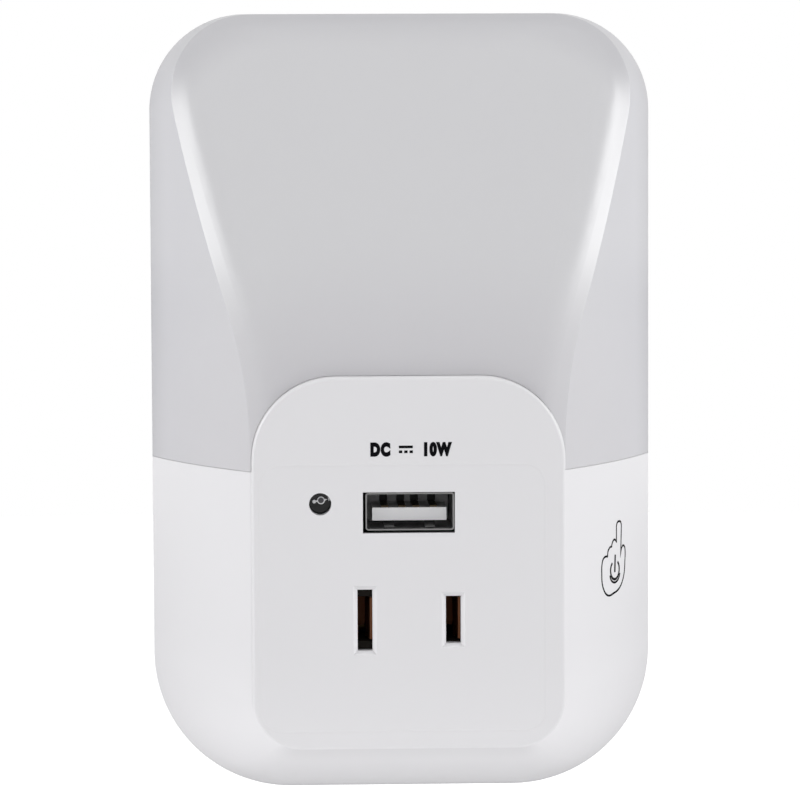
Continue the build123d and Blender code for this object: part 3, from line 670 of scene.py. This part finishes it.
# The lamp's outline, along which painted shade darkens the diffuser.
OUTLINE_CORNER = 20.0 * MM
EDGE_FADE = 6.0 * MM
# How far in front of the wall painted shade darkens its side walls towards the rear cover.
REAR_FADE = 12.0 * MM
REAR_SOLID = 3.0 * MM
REAR_SHADE = 0.86
# Between these heights its polish dulls, so the streaks along the creases die out above the block.
POLISH_TOP = 55.0 * MM
POLISH_FOOT = 39.0 * MM
POLISH_LOSS = 0.30


def diffuser_finish(shells):
    """Milky translucent moulding, with painted shade where the outlet block stands close behind it, along
    its outline and on its side walls.
    """
    material, tree, surface = new_material("diffuser_milk")
    shade = scaled(shells.diffuser, 0.985)
    made = moulded(tree, shells.diffuser, shade, flow=25, grain=0.18, height=0.0012, low=0.29, high=0.35)
    place = axes(tree)
    low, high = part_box("diffuser")
    # painted shade along the outline
    rim = frame_distance(tree, low.x, high.x, low.z, high.z, OUTLINE_CORNER)
    edge = ramp(tree, rim, -EDGE_FADE, 0.0, kind="SMOOTHSTEP")
    milk = blend(tree, edge, made["Colour"], shells.diffuser_outline_shade)
    # painted shade on the side walls
    sideways = maths(tree, "ABSOLUTE", axes(tree, "Normal")["X"])
    wall = ramp(tree, sideways, 0.75, 0.95, kind="SMOOTHSTEP")
    # painted shade that deepens towards the rear cover
    rear = ramp(tree, place["Y"], -REAR_FADE, -REAR_SOLID, kind="SMOOTHSTEP")
    walls = blend(tree, rear, shells.diffuser_wall_shade, scaled(shells.diffuser_wall_shade, REAR_SHADE))
    milk = blend(tree, wall, milk, walls)
    # painted shade round the outlet block
    from_block = frame_distance(tree, *BLOCK, BLOCK_TOP_CORNER)
    block_shade = ramp(tree, from_block, 0.0, ARCH_FADE, 1.0, 0.0, "SMOOTHERSTEP")
    dull = ramp(tree, place["Z"], POLISH_FOOT, POLISH_TOP, POLISH_LOSS, 0.0, "SMOOTHSTEP")
    feed(
        tree,
        surface,
        Base_Color=blend(tree, block_shade, milk, shells.diffuser_shade),
        Roughness=maths(tree, "ADD", made["Roughness"], dull),
        Normal=made["Normal"],
        IOR=1.58,
        Subsurface_Weight=0.25,
        Subsurface_Radius=(1.0, 1.0, 1.0),
        Subsurface_Scale=1.5 * MM,
    )
    return material


# --- operators ---
class NIGHTLIGHT_OT_studio(Operator):
    """Set up the camera, the floor and the lamps"""

    bl_idname = "nightlight.studio"
    bl_label = "Studio"

    def execute(self, context):
        scene = context.scene
        place_camera(scene)
        lay_floor(scene.night_light_studio)
        hang_lamps(scene.night_light_studio)
        light_room(scene)
        scene.view_settings.view_transform = "Standard"
        return {"FINISHED"}


def away(azimuth, elevation):
    """The way from the lamp to a place in front of it, turned to the right and upwards."""
    return Vector((sin(azimuth) * cos(elevation), -cos(azimuth) * cos(elevation), sin(elevation)))


def place_camera(scene):
    """Aims a camera along an azimuth and an elevation, with a little roll."""
    spot = scene.night_light_camera
    backwards = away(-spot.azimuth, spot.elevation)
    start_clean()
    bpy.ops.object.camera_add(location=Vector(spot.aim) + backwards * spot.distance)
    camera = bpy.context.object
    camera.name = "photo_camera"
    turn = (-backwards).to_track_quat("-Z", "Y") @ Quaternion((0, 0, 1), spot.roll)
    camera.rotation_euler = turn.to_euler()
    camera.data.lens = spot.lens
    camera.data.sensor_width = 36
    camera.data.clip_start = 10 * MM
    camera.data.clip_end = 20
    scene.camera = camera


def lay_floor(studio):
    """A plain pale floor that keeps the lamp's shadow."""
    low = CAD_BOX[0]
    floor = add_circle((0, low.y, low.z - studio.floor_gap), studio.floor_radius, 96)
    floor.name = "studio_floor"
    material = bpy.data.materials.new("floor_pale")
    tree = empty_tree(material)
    speckle = shader(tree, "TexNoise", {"Vector": object_place(tree), "Scale": 400.0})["Fac"]
    tone = blend(tree, speckle, (0.84, 0.84, 0.84), (0.86, 0.86, 0.86))
    rays = shader(tree, "LightPath")
    dimmed = blend(tree, rays["Is Glossy Ray"], tone, (0.12, 0.12, 0.12))
    pale = shader(tree, "BsdfDiffuse", {"Color": dimmed})
    glow = maths(tree, "MULTIPLY", rays["Is Diffuse Ray"], studio.floor_glow)
    lift = maths(tree, "MULTIPLY_ADD", rays["Is Camera Ray"], studio.floor_lift, glow)
    shine = shader(tree, "Emission", {"Strength": lift})
    both = shader(tree, "AddShader", {0: pale[0], 1: shine[0]})
    shader(tree, "OutputMaterial", {"Surface": both[0]})
    floor.data.materials.append(material)


# Azimuth and elevation in degrees, then distance, width and height in metres.
SOFT_BOXES = {
    "left_box": (-72, 23, 1.0, 0.32, 0.50),
    "right_box": (72, 23, 1.0, 0.32, 0.50),
    "top_box": (0, 78, 0.9, 1.4, 0.9),
    "fill_box": (0, 35, 1.6, 1.4, 1.0),
}


def hang_lamps(studio):
    """Soft boxes that face the lamp. Their power follows their size, so brightness stays as given."""
    middle = (CAD_BOX[0] + CAD_BOX[1]) / 2
    for name, (azimuth, elevation, distance, width, height) in SOFT_BOXES.items():
        outwards = away(radians(azimuth), radians(elevation))
        start_clean()
        bpy.ops.object.light_add(type="AREA", location=middle + outwards * distance)
        box = bpy.context.object
        box.name = name
        box.rotation_euler = (-outwards).to_track_quat("-Z", "Y").to_euler()
        box.data.shape = "RECTANGLE"
        box.data.size = width
        box.data.size_y = height
        box.data.energy = getattr(studio, name) * pi * width * height


def light_room(scene):
    """A plain room: white where it is seen, dimmer where it lights the lamp."""
    world = bpy.data.worlds.new("studio_room")
    scene.world = world
    tree = empty_tree(world)
    rays = shader(tree, "LightPath")
    seen = maths(tree, "MAXIMUM", rays["Is Camera Ray"], rays["Is Glossy Ray"])
    seen = maths(tree, "MAXIMUM", seen, rays["Is Transmission Ray"])
    strength = ramp(tree, seen, 0.0, 1.0, scene.night_light_studio.surround, 1.0)
    background = shader(tree, "Background", {"Color": (1, 1, 1), "Strength": strength})
    shader(tree, "OutputWorld", {"Surface": background[0]})


class NIGHTLIGHT_OT_shells(Operator):
    """Finish the front housing, the diffuser and the rear cover"""

    bl_idname = "nightlight.shells"
    bl_label = "Shells"

    def execute(self, context):
        shells = context.scene.night_light_shells
        dress(housing_finish(shells), "front_housing")
        dress(diffuser_finish(shells), "diffuser")
        cover = plastic("cover_white", shells.cover, scaled(shells.cover, 0.97), low=0.42, high=0.52)
        dress(cover, "rear_cover")
        return {"FINISHED"}


class NIGHTLIGHT_OT_plug(Operator):
    """Finish the blades, the spring contacts and what holds them"""

    bl_idname = "nightlight.plug"
    bl_label = "Plug and contacts"

    def execute(self, context):
        brass = metal("blade_brass", (0.80, 0.62, 0.32), (0.60, 0.44, 0.22))
        dress(brass, "neutral_blade", "line_blade")
        copper = metal("contact_copper", (0.33, 0.135, 0.070), (0.20, 0.085, 0.046), low=0.35, high=0.5)
        dress(copper, "neutral_contact", "line_contact")
        dress(metal("rivet_nickel", (0.66, 0.64, 0.60), (0.5, 0.48, 0.44)), "contact_rivets")
        dark, darker = (0.022, 0.019, 0.016), (0.015, 0.013, 0.011)
        dress(plastic("holder_dark", dark, darker, ior=1.12, low=0.6, high=0.75), "contact_holder")
        return {"FINISHED"}


class NIGHTLIGHT_OT_usb_socket(Operator):
    """Finish the USB socket's shell, tongue and contacts"""

    bl_idname = "nightlight.usb_socket"
    bl_label = "USB socket"

    def execute(self, context):
        steel = metal("socket_steel", (0.44, 0.44, 0.44), (0.34, 0.34, 0.34), streak=0.1)
        finish_piece(socket_shell(), "usb_socket_shell", steel, replaces=("usb_shell",))
        # painted light: the tongue is paler than the white mouldings, so it reads bright in the shade of
        # its recess
        dress(plastic("socket_white_lit", (0.97, 0.97, 0.985), (0.95, 0.95, 0.97)), "usb_insulator")
        # painted shade: the contacts' gold is darkened, as they look dark when seen edge-on deep in the
        # socket
        gold = metal("contact_gold_shaded", (0.12, 0.09, 0.05), (0.06, 0.045, 0.03), low=0.3, high=0.4)
        dress(gold, "usb_contacts")
        # painted shade: black pieces that give the contacts their dark look deep in the socket
        dark = plastic("riser_black_shade", (0.004, 0.004, 0.004), (0.006, 0.006, 0.006), low=0.5, high=0.6)
        finish_piece(contact_risers(), "usb_contact_risers", dark)
        grey, shaded = (0.14, 0.14, 0.14), (0.10, 0.10, 0.10)
        spring_steel = metal("spring_steel", grey, shaded, streak=0.1, low=0.5, high=0.65)
        finish_piece(shell_springs(), "usb_shell_springs", spring_steel)
        return {"FINISHED"}


SHELL_WALL = 0.2 * MM
SHELL_CORNER = 0.4 * MM
RISER_WIDTH = 1.15 * MM
RISER_THICKNESS = 0.1 * MM
TONGUE_REACH = 8.8 * MM  # from the socket's base to the tongue's front
SPRING_SPACING = 5.9 * MM
SPRING_SIZE = Vector((1.5, 5.0, 0.15)) * MM
SPRING_RISE = radians(9)


def block_between(low, high):
    """A box between two corners."""
    low, high = Vector(low), Vector(high)
    return add_cube((low + high) / 2, high - low)


def contact_risers():
    """The dark roots of the contacts, standing up against the socket's base: black pieces of painted
    shade.
    """
    tongue_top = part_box("usb_contacts")[1].z
    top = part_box("usb_shell")[1].z - 3 * RISER_THICKNESS
    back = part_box("usb_insulator")[0].y + TONGUE_REACH
    risers = []
    for low, high in islands("usb_contacts"):
        middle = (low.x + high.x) / 2
        risers.append(
            block_between(
                (middle - RISER_WIDTH / 2, back - RISER_THICKNESS, tongue_top),
                (middle + RISER_WIDTH / 2, back, top),
            )
        )
    return settle(join(*risers))


def socket_shell():
    """The socket's drawn shell: thin walls with small round corners, open at the front."""
    low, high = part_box("usb_shell")
    shell = settle(block_between(low, high))
    # the four long edges are rounded
    edit_faces(shell, lambda centre, normal: False)
    change_mode("OBJECT")
    for edge in shell.data.edges:
        first, second = (shell.data.vertices[v].co for v in edge.vertices)
        edge.select = abs(first.y - second.y) > MM
    change_mode("EDIT")
    bpy.ops.mesh.select_mode(type="EDGE")
    bpy.ops.mesh.bevel(offset=SHELL_CORNER, segments=5, affect="EDGES")
    edit_faces(shell, lambda centre, normal: normal.y < -0.9)
    bpy.ops.mesh.inset(thickness=SHELL_WALL)
    bpy.ops.mesh.extrude_region_move(TRANSFORM_OT_translate={"value": (0, high.y - low.y - SHELL_WALL, 0)})
    return settle(shell)


def shell_springs():
    """The two springs on the socket's lower wall, rising into the socket."""
    low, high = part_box("usb_shell")
    _, length, thickness = SPRING_SIZE
    depth = low.y + length / 2 + MM
    height = low.z + 2.5 * thickness + length / 2 * sin(SPRING_RISE)
    springs = []
    for aside in (-SPRING_SPACING / 2, SPRING_SPACING / 2):
        middle = ((low.x + high.x) / 2 + aside, depth, height)
        springs.append(add_cube(middle, SPRING_SIZE, (SPRING_RISE, 0, 0)))
        soften(springs[-1], 0.03)
    return settle(join(*springs))


class NIGHTLIGHT_OT_sensor(Operator):
    """Model the lead frame in the light sensor's face and finish the sensor"""

    bl_idname = "nightlight.sensor"
    bl_label = "Light sensor"

    def execute(self, context):
        sizes = context.scene.night_light_sensor
        rubber = plastic("sleeve_rubber", (0.018, 0.018, 0.019), (0.012, 0.012, 0.013), low=0.55, high=0.7)
        dress(rubber, "photocell_sleeve")
        smoke = plastic("sensor_epoxy", (0.016, 0.016, 0.018), (0.011, 0.011, 0.012), low=0.1, high=0.16)
        dress(smoke, "photocell")
        silver = metal("lead_silver", (0.95, 0.95, 0.96), (0.82, 0.82, 0.84), low=0.4, high=0.5)
        grey, shaded = (0.16, 0.16, 0.17), (0.11, 0.11, 0.12)
        chip = plastic("sensor_chip", grey, shaded, flow=0.3, low=0.2, high=0.3)
        finish_piece(lead_plate(sizes), "sensor_lead_plate", silver)
        finish_piece(lead_post(sizes), "sensor_lead_post", silver)
        finish_piece(sensor_die(sizes), "sensor_die", chip)
        return {"FINISHED"}


# From the sensor's middle to the cup, and from there to the terminals at its left and right.
CUP_SHIFT = Vector((0.15, 0, 0.28)) * MM
TERMINAL_REACH = 0.98 * MM
POST_REACH = 1.28 * MM


def sensor_point(sizes, along):
    """A point on the sensor's face, by its distance along the tilted lead frame."""
    low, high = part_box("photocell")
    cup = Vector(((low.x + high.x) / 2, low.y, (low.z + high.z) / 2)) + CUP_SHIFT
    return cup + Vector((cos(sizes.tilt), 0, sin(sizes.tilt))) * along


def face_disc(spot, radius, thickness, sides=48):
    """A thin upright disc whose back lies at a point."""
    return add_rod(spot - Vector((0, thickness / 2, 0)), radius, thickness, sides)


def lead_plate(sizes):
    """The plate round the cup, its neck and the left terminal."""
    cup = sensor_point(sizes, 0)
    plate = face_disc(cup, sizes.rim_radius, sizes.thickness)
    neck = face_disc(cup, sizes.rim_radius, sizes.thickness, sides=4)
    neck.rotation_euler.y = -sizes.tilt
    neck.scale = (TERMINAL_REACH / sizes.rim_radius, 0.62, 1)
    spot = sensor_point(sizes, -TERMINAL_REACH)
    terminal = face_disc(spot, sizes.terminal_radius, 1.8 * sizes.thickness, sides=32)
    settle(plate)
    combine(plate, neck, "UNION")
    combine(plate, terminal, "UNION")
    hole = face_disc(cup + Vector((0, MM, 0)), sizes.cup_radius, REACH / 10)
    combine(plate, hole, "DIFFERENCE")
    soften(plate, 0.015 * MM)
    return settle(plate)


def lead_post(sizes):
    """The right terminal, a small bent tab."""
    post = add_cube(
        sensor_point(sizes, POST_REACH) - Vector((0, sizes.thickness, 0)),
        (0.52 * MM, 2 * sizes.thickness, 0.5 * MM),
        (0, -sizes.tilt, 0),
    )
    soften(post, 0.3, segments=3)
    return settle(post)


def sensor_die(sizes):
    """The grey chip in the cup, a thin disc with an inset face."""
    die = face_disc(sensor_point(sizes, 0), 0.97 * sizes.cup_radius, 0.6 * sizes.thickness)
    edit_faces(die, lambda centre, normal: normal.z > 0.9)
    bpy.ops.mesh.inset(thickness=0.45 * sizes.cup_radius)
    return settle(die)


class NIGHTLIGHT_OT_marking(Operator):
    """Print the plain rating above the USB socket"""

    bl_idname = "nightlight.marking"
    bl_label = "Rating mark"

    def execute(self, context):
        marks = context.scene.night_light_marks
        ink = plastic("print_ink", marks.ink, scaled(marks.ink, 1.6), ior=1.1, flow=0.6, low=0.5, high=0.6)
        left = lettering(marks, marks.left_text, LEFT_TEXT_X)
        right = lettering(marks, marks.right_text, RIGHT_TEXT_X)
        mark = join(left, right, *direct_current_bars(marks))
        finish_piece(settle(mark, radians(20)), "rating_mark", ink)
        return {"FINISHED"}


# Places from the middle of the rating, and how the font's letters become bold narrow figures.
LEFT_TEXT_X = -4.4 * MM
RIGHT_TEXT_X = 3.85 * MM
LETTER_NARROWNESS = 0.74
LETTER_LOOKS = {
    "align_x": "CENTER",
    "align_y": "CENTER",
    "offset": 0.085,
    "space_character": 1.22,
    "resolution_u": 6,
    "extrude": 0.05,
}
# The sign for direct current: a long bar over three dashes.
BARS_X = -0.75 * MM
BAR_LENGTH = 2.0 * MM
BAR_THICKNESS = 0.38 * MM
BAR_HEIGHT = 0.35 * MM
DASH_LENGTH = BAR_LENGTH / 4.2


def on_block_face(marks, across, height=0.0):
    """A point half an ink's thickness off the block's face, from the middle of the rating."""
    return Vector(
        (marks.marking_x + across, BLOCK_FRONT - marks.ink_thickness / 2, marks.marking_height + height)
    )


def lettering(marks, text, across):
    """Bold narrow figures on the face of the block, as a thin solid."""
    start_clean()
    bpy.ops.object.text_add()
    figures = bpy.context.object
    figures.data.body = text
    for name, value in LETTER_LOOKS.items():
        setattr(figures.data, name, value)
    bpy.ops.object.convert(target="MESH")
    figures = bpy.context.object
    tall = marks.letter_height / figures.dimensions.y
    wide = tall * LETTER_NARROWNESS
    deep = marks.ink_thickness / (2 * abs(figures.data.vertices[0].co.z))
    middle = sum((Vector(corner) for corner in figures.bound_box), Vector()) / 8
    figures.scale = (wide, tall, deep)
    figures.rotation_euler = (QUARTER, 0, 0)
    figures.location = on_block_face(marks, across) - Vector((middle.x * wide, 0, middle.y * tall))
    return figures


def direct_current_bars(marks):
    """The bar and the dashes of the sign for direct current."""
    spots = [(0.0, BAR_HEIGHT, BAR_LENGTH)]
    spots += [(step * (BAR_LENGTH - DASH_LENGTH) / 2, -BAR_HEIGHT, DASH_LENGTH) for step in (-1, 0, 1)]
    return [
        add_cube(on_block_face(marks, BARS_X + along, height), (width, marks.ink_thickness, BAR_THICKNESS))
        for along, height, width in spots
    ]


class NIGHTLIGHT_OT_touch_symbol(Operator):
    """Print the hand and the power sign on the right side wall"""

    bl_idname = "nightlight.touch_symbol"
    bl_label = "Touch symbol"

    def execute(self, context):
        marks = context.scene.night_light_marks
        shade = scaled(marks.symbol_ink, 1.5)
        ink = plastic("symbol_ink", marks.symbol_ink, shade, ior=1.12, flow=0.6, low=0.5, high=0.6)
        line = marks.symbol_line
        finish_piece(wall_line(marks, HAND, line, (0, 0), closed=True), "touch_hand", ink)
        ring = wall_line(marks, arc_points(1.50, 1.40, 0.0, 38, 322), 1.3 * line, SIGN_CENTRE)
        outer = wall_line(marks, arc_points(1.72, 1.42, 0.45, 98, 262), 1.1 * line, SIGN_CENTRE)
        bar = wall_line(marks, SIGN_BAR, 1.5 * line, SIGN_CENTRE)
        finish_piece(join(ring, outer, bar), "touch_sign", ink)
        return {"FINISHED"}


# Points in millimetres, across to the wall and up. A third number marks a sharp corner.
SIGN_CENTRE = (0.20, -1.70)
SIGN_BAR = ((0.08, 2.25, 1), (-0.08, -0.35, 1))
HAND = (
    # the raised forefinger
    (0.70, 2.47, 1), (0.70, 4.70, 1), (0.96, 5.20), (1.60, 5.38), (2.24, 5.20), (2.50, 4.70, 1),
    # the thumb and the heel of the hand
    (2.28, 0.66, 1), (2.58, 1.28), (3.16, 1.61), (3.79, 1.28), (3.96, 0.75), (3.87, -0.84),
    (3.67, -2.24), (3.25, -3.21), (2.28, -4.27), (1.03, -4.89), (-0.23, -5.12), (-1.69, -5.31),
    (-2.74, -4.97), (-3.57, -4.09), (-3.99, -3.13), (-4.10, -2.07), (-3.95, -0.13),
    # the knuckles of the three bent fingers
    (-3.66, 0.31), (-2.95, 0.61), (-2.32, 0.57, 1), (-2.11, 1.36), (-1.48, 1.84), (-0.94, 1.89, 1),
    (-0.77, 2.33), (-0.02, 2.83),
)


def arc_points(wide, tall, drop, start, end, steps=13):
    """Points along an arc below the power sign's centre, measured clockwise from its top."""
    turns = [radians(start + (end - start) * step / (steps - 1)) for step in range(steps)]
    return [(wide * sin(turn), tall * cos(turn) - drop) for turn in turns]


def bezier_line():
    """A new curve with one Bezier spline of two points."""
    start_clean()
    bpy.ops.curve.primitive_bezier_curve_add()
    return bpy.context.object


def wall_line(marks, points, width, centre, closed=False):
    """A thin printed line that follows the right wall, through points round a centre."""
    line = bezier_line()
    shape = line.data
    shape.dimensions = "2D"
    shape.fill_mode = "NONE"
    shape.resolution_u = 8
    spline = shape.splines[0]
    spline.bezier_points.add(len(points) - len(spline.bezier_points))
    spline.use_cyclic_u = closed
    for point, (across, height, *sharp) in zip(spline.bezier_points, points):
        point.handle_left_type = point.handle_right_type = "VECTOR" if sharp else "AUTO"
        point.co = ((across + centre[0]) * MM, (height + centre[1]) * MM, 0)
    stroke = bezier_line()
    for end, side in zip(stroke.data.splines[0].bezier_points, (-1, 1)):
        end.handle_left_type = end.handle_right_type = "VECTOR"
        end.co = (side * width / 2, 0, 0)
    stroke.data.resolution_u = 1
    shape.bevel_mode = "OBJECT"
    shape.bevel_object = stroke
    select_only(line)
    bpy.ops.object.convert(target="MESH")
    line = bpy.context.object
    bpy.data.objects.remove(stroke)
    # stood upright, facing the right wall from outside
    line.rotation_euler = (QUARTER, 0, QUARTER)
    line.location = (REACH, -marks.symbol_depth, marks.symbol_height)
    apply_place(line)
    apply_modifier(
        line,
        "SHRINKWRAP",
        target=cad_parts["front_housing"],
        wrap_method="PROJECT",
        use_project_x=True,
        use_negative_direction=True,
        use_positive_direction=False,
    )
    apply_modifier(line, "SOLIDIFY", thickness=marks.ink_thickness, offset=1.0)
    return settle(line, radians(60))


class NIGHTLIGHT_OT_screws(Operator):
    """Model the screws with their cross drives and threads"""

    bl_idname = "nightlight.screws"
    bl_label = "Screws"

    def execute(self, context):
        sizes = context.scene.night_light_screws
        shade = scaled(sizes.steel, 0.72)
        steel = metal("screw_zinc", sizes.steel, shade, streak=0.2, patch=1.5, low=0.28, high=0.42)
        for node in SCREW_SHAPES:
            for place, (low, high) in enumerate(islands(node), start=1):
                screw = screw_copy(sizes, node, low, high)
                finish_piece(screw, f"{node[:-1]}_{place}", steel, (node,))
        return {"FINISHED"}


SCREW_SHAPES = {
    # shank radius and head height in mm, and the head's end: -1 for the front, 1 for the wall side
    "housing_screws": (1.45, 1.9, 1),
    "board_screws": (1.0, 1.2, 1),
    "holder_screws": (1.0, 1.2, 1),
    "led_board_screws": (1.0, 1.2, -1),
}
THREAD_DEPTH = 0.84  # the thread's root as a share of its crest
TIP_TAPER = 0.72
SCREW_MODELS = {}


def screw_copy(sizes, node, low, high):
    """A copy of the node's modelled screw, moved to one solid's place."""
    middle = (low + high) / 2
    if node not in SCREW_MODELS:
        SCREW_MODELS[node] = (model_screw(sizes, node, low, high), middle)
        return SCREW_MODELS[node][0]
    first, first_middle = SCREW_MODELS[node]
    copied = bpy.data.objects.new("screw", first.data.copy())
    bpy.context.collection.objects.link(copied)
    copied.location = middle - first_middle
    apply_place(copied)
    return copied


def model_screw(sizes, node, low, high):
    """A pan-head screw along Y, as large as one solid, with a cross drive in its domed head."""
    shank_radius, head_height, head_side = SCREW_SHAPES[node]
    head_height *= MM
    head_radius = (high.x - low.x) / 2
    head_end, tip_end = (high.y, low.y) if head_side > 0 else (low.y, high.y)
    seat = head_end - head_side * head_height
    middle_x, middle_z = (low.x + high.x) / 2, (low.z + high.z) / 2
    head = add_rod((middle_x, (head_end + seat) / 2, middle_z), head_radius, head_height, sizes.sides)
    apply_place(head)
    edit_faces(head, lambda centre, normal: abs(centre.y - head_end) < MM / 100)
    bpy.ops.mesh.bevel(offset=0.38 * head_height, segments=4, profile=0.5)
    slot_size = (1.25 * head_radius, 2 * sizes.slot_depth * head_height, sizes.slot_width * head_radius)
    for turn in (45, 135):
        slot = add_cube((middle_x, head_end, middle_z), slot_size, (0, radians(turn), 0))
        combine(head, slot, "DIFFERENCE")
    shank = threaded_shank(sizes, shank_radius * MM, (middle_x, seat, middle_z), tip_end)
    return settle(join(head, shank), radians(40))


def threaded_shank(sizes, radius, seat, tip_end):
    """A shank whose rings stand for its thread, with a short taper at the tip."""
    length = tip_end - seat[1]
    rings = 2 * max(3, round(abs(length) / sizes.pitch))
    shank = add_circle(seat, radius, 24, (QUARTER, 0, 0))
    apply_place(shank)
    change_mode("EDIT")
    bpy.ops.mesh.select_mode(type="FACE")
    for ring in range(rings):
        shrink = THREAD_DEPTH if ring % 2 == 0 else 1 / THREAD_DEPTH
        if ring >= rings - 2:
            shrink *= TIP_TAPER
        bpy.ops.mesh.extrude_region_move(TRANSFORM_OT_translate={"value": (0, length / rings, 0)})
        bpy.ops.transform.resize(value=(shrink, 1, shrink), center_override=seat)
    face_outwards()
    return shank


WIRE_COLOURS = {
    "touch_wire": (0.03, 0.12, 0.45),
    "line_wire": (0.015, 0.015, 0.015),
    "neutral_wire": (0.72, 0.72, 0.70),
    "led_wires": (0.5, 0.02, 0.015),
}


class NIGHTLIGHT_OT_inside(Operator):
    """Finish the boards with what stands on them, the touch electrode and the wires"""

    bl_idname = "nightlight.inside"
    bl_label = "Boards and wires"

    def execute(self, context):
        dress(board_finish("board_green", (0.022, 0.115, 0.045), (0.035, 0.17, 0.07)), "power_board")
        ferrite = plastic("core_ferrite", (0.035, 0.035, 0.038), (0.02, 0.02, 0.022), flow=1.5)
        dress(ferrite, "transformer_core")
        tape = plastic("coil_tape", (0.80, 0.55, 0.05), (0.7, 0.45, 0.04), flow=2.0)
        dress(tape, "transformer_coil")
        sleeve = plastic("can_sleeve", (0.012, 0.016, 0.035), (0.008, 0.01, 0.02), low=0.2, high=0.3)
        dress(sleeve, "bulk_capacitor", "output_capacitor")
        epoxy = plastic("epoxy_blue", (0.03, 0.16, 0.45), (0.02, 0.1, 0.35), flow=2.0)
        dress(epoxy, "safety_capacitor")
        black, worn = (0.012, 0.012, 0.013), (0.02, 0.02, 0.021)
        chip = plastic("chip_black", black, worn, flow=1.0, low=0.5, high=0.65)
        dress(chip, "bridge_rectifier", "controller_chip")
        lacquer = plastic("resistor_green", (0.10, 0.30, 0.16), (0.07, 0.22, 0.11), flow=1.5)
        dress(lacquer, "fuse_resistor")
        dress(board_finish("board_white", (0.78, 0.78, 0.77), (0.70, 0.70, 0.68)), "led_board")
        dress(plastic("led_phosphor", (0.85, 0.62, 0.10), (0.8, 0.55, 0.08), flow=1.0), "led_chips")
        glaze = plastic("resistor_black", (0.015, 0.015, 0.016), (0.03, 0.03, 0.03), flow=0.5)
        dress(glaze, "led_resistors")
        dress(metal("electrode_copper", (0.72, 0.40, 0.24), (0.5, 0.25, 0.15)), "touch_pad")
        for node, colour in WIRE_COLOURS.items():
            dress(plastic(f"{node}_vinyl", colour, scaled(colour, 0.85), flow=3.0), node)
        return {"FINISHED"}


def board_finish(name, lacquer, copper):
    """Solder mask over copper tracks that run square to the board's edges."""
    material, tree, surface = new_material(name)
    cells = {"Vector": object_place(tree), "Scale": 450.0}
    tracks = shader(tree, "TexVoronoi", cells, distance="MANHATTAN")["Distance"]
    share = ramp(tree, tracks, 0.42, 0.48)
    feed(
        tree,
        surface,
        Base_Color=blend(tree, share, copper, lacquer),
        Normal=bump(tree, 0.03 * MM, share, invert=True),
        Roughness=0.3,
    )
    return material


OPERATORS = [
    NIGHTLIGHT_OT_studio,
    NIGHTLIGHT_OT_shells,
    NIGHTLIGHT_OT_plug,
    NIGHTLIGHT_OT_usb_socket,
    NIGHTLIGHT_OT_sensor,
    NIGHTLIGHT_OT_marking,
    NIGHTLIGHT_OT_touch_symbol,
    NIGHTLIGHT_OT_screws,
    NIGHTLIGHT_OT_inside,
]


class NIGHTLIGHT_PT_panel(Panel):
    """Lists the night light's operators in the sidebar"""

    bl_idname = "NIGHTLIGHT_PT_panel"
    bl_label = "Night Light"
    bl_space_type = "VIEW_3D"
    bl_region_type = "UI"
    bl_category = "Night Light"

    def draw(self, context):
        for operator in OPERATORS:
            self.layout.operator(operator.bl_idname)


CLASSES = [*SETTINGS.values(), *OPERATORS, NIGHTLIGHT_PT_panel]


def register():
    for cls in CLASSES:
        bpy.utils.register_class(cls)
    for name, cls in SETTINGS.items():
        setattr(bpy.types.Scene, name, PointerProperty(type=cls))


def unregister():
    for name in SETTINGS:
        delattr(bpy.types.Scene, name)
    for cls in reversed(CLASSES):
        bpy.utils.unregister_class(cls)


def main():
    register()
    for operator in OPERATORS:
        family, action = operator.bl_idname.split(".")
        getattr(getattr(bpy.ops, family), action)()


if __name__ == "__main__":
    main()
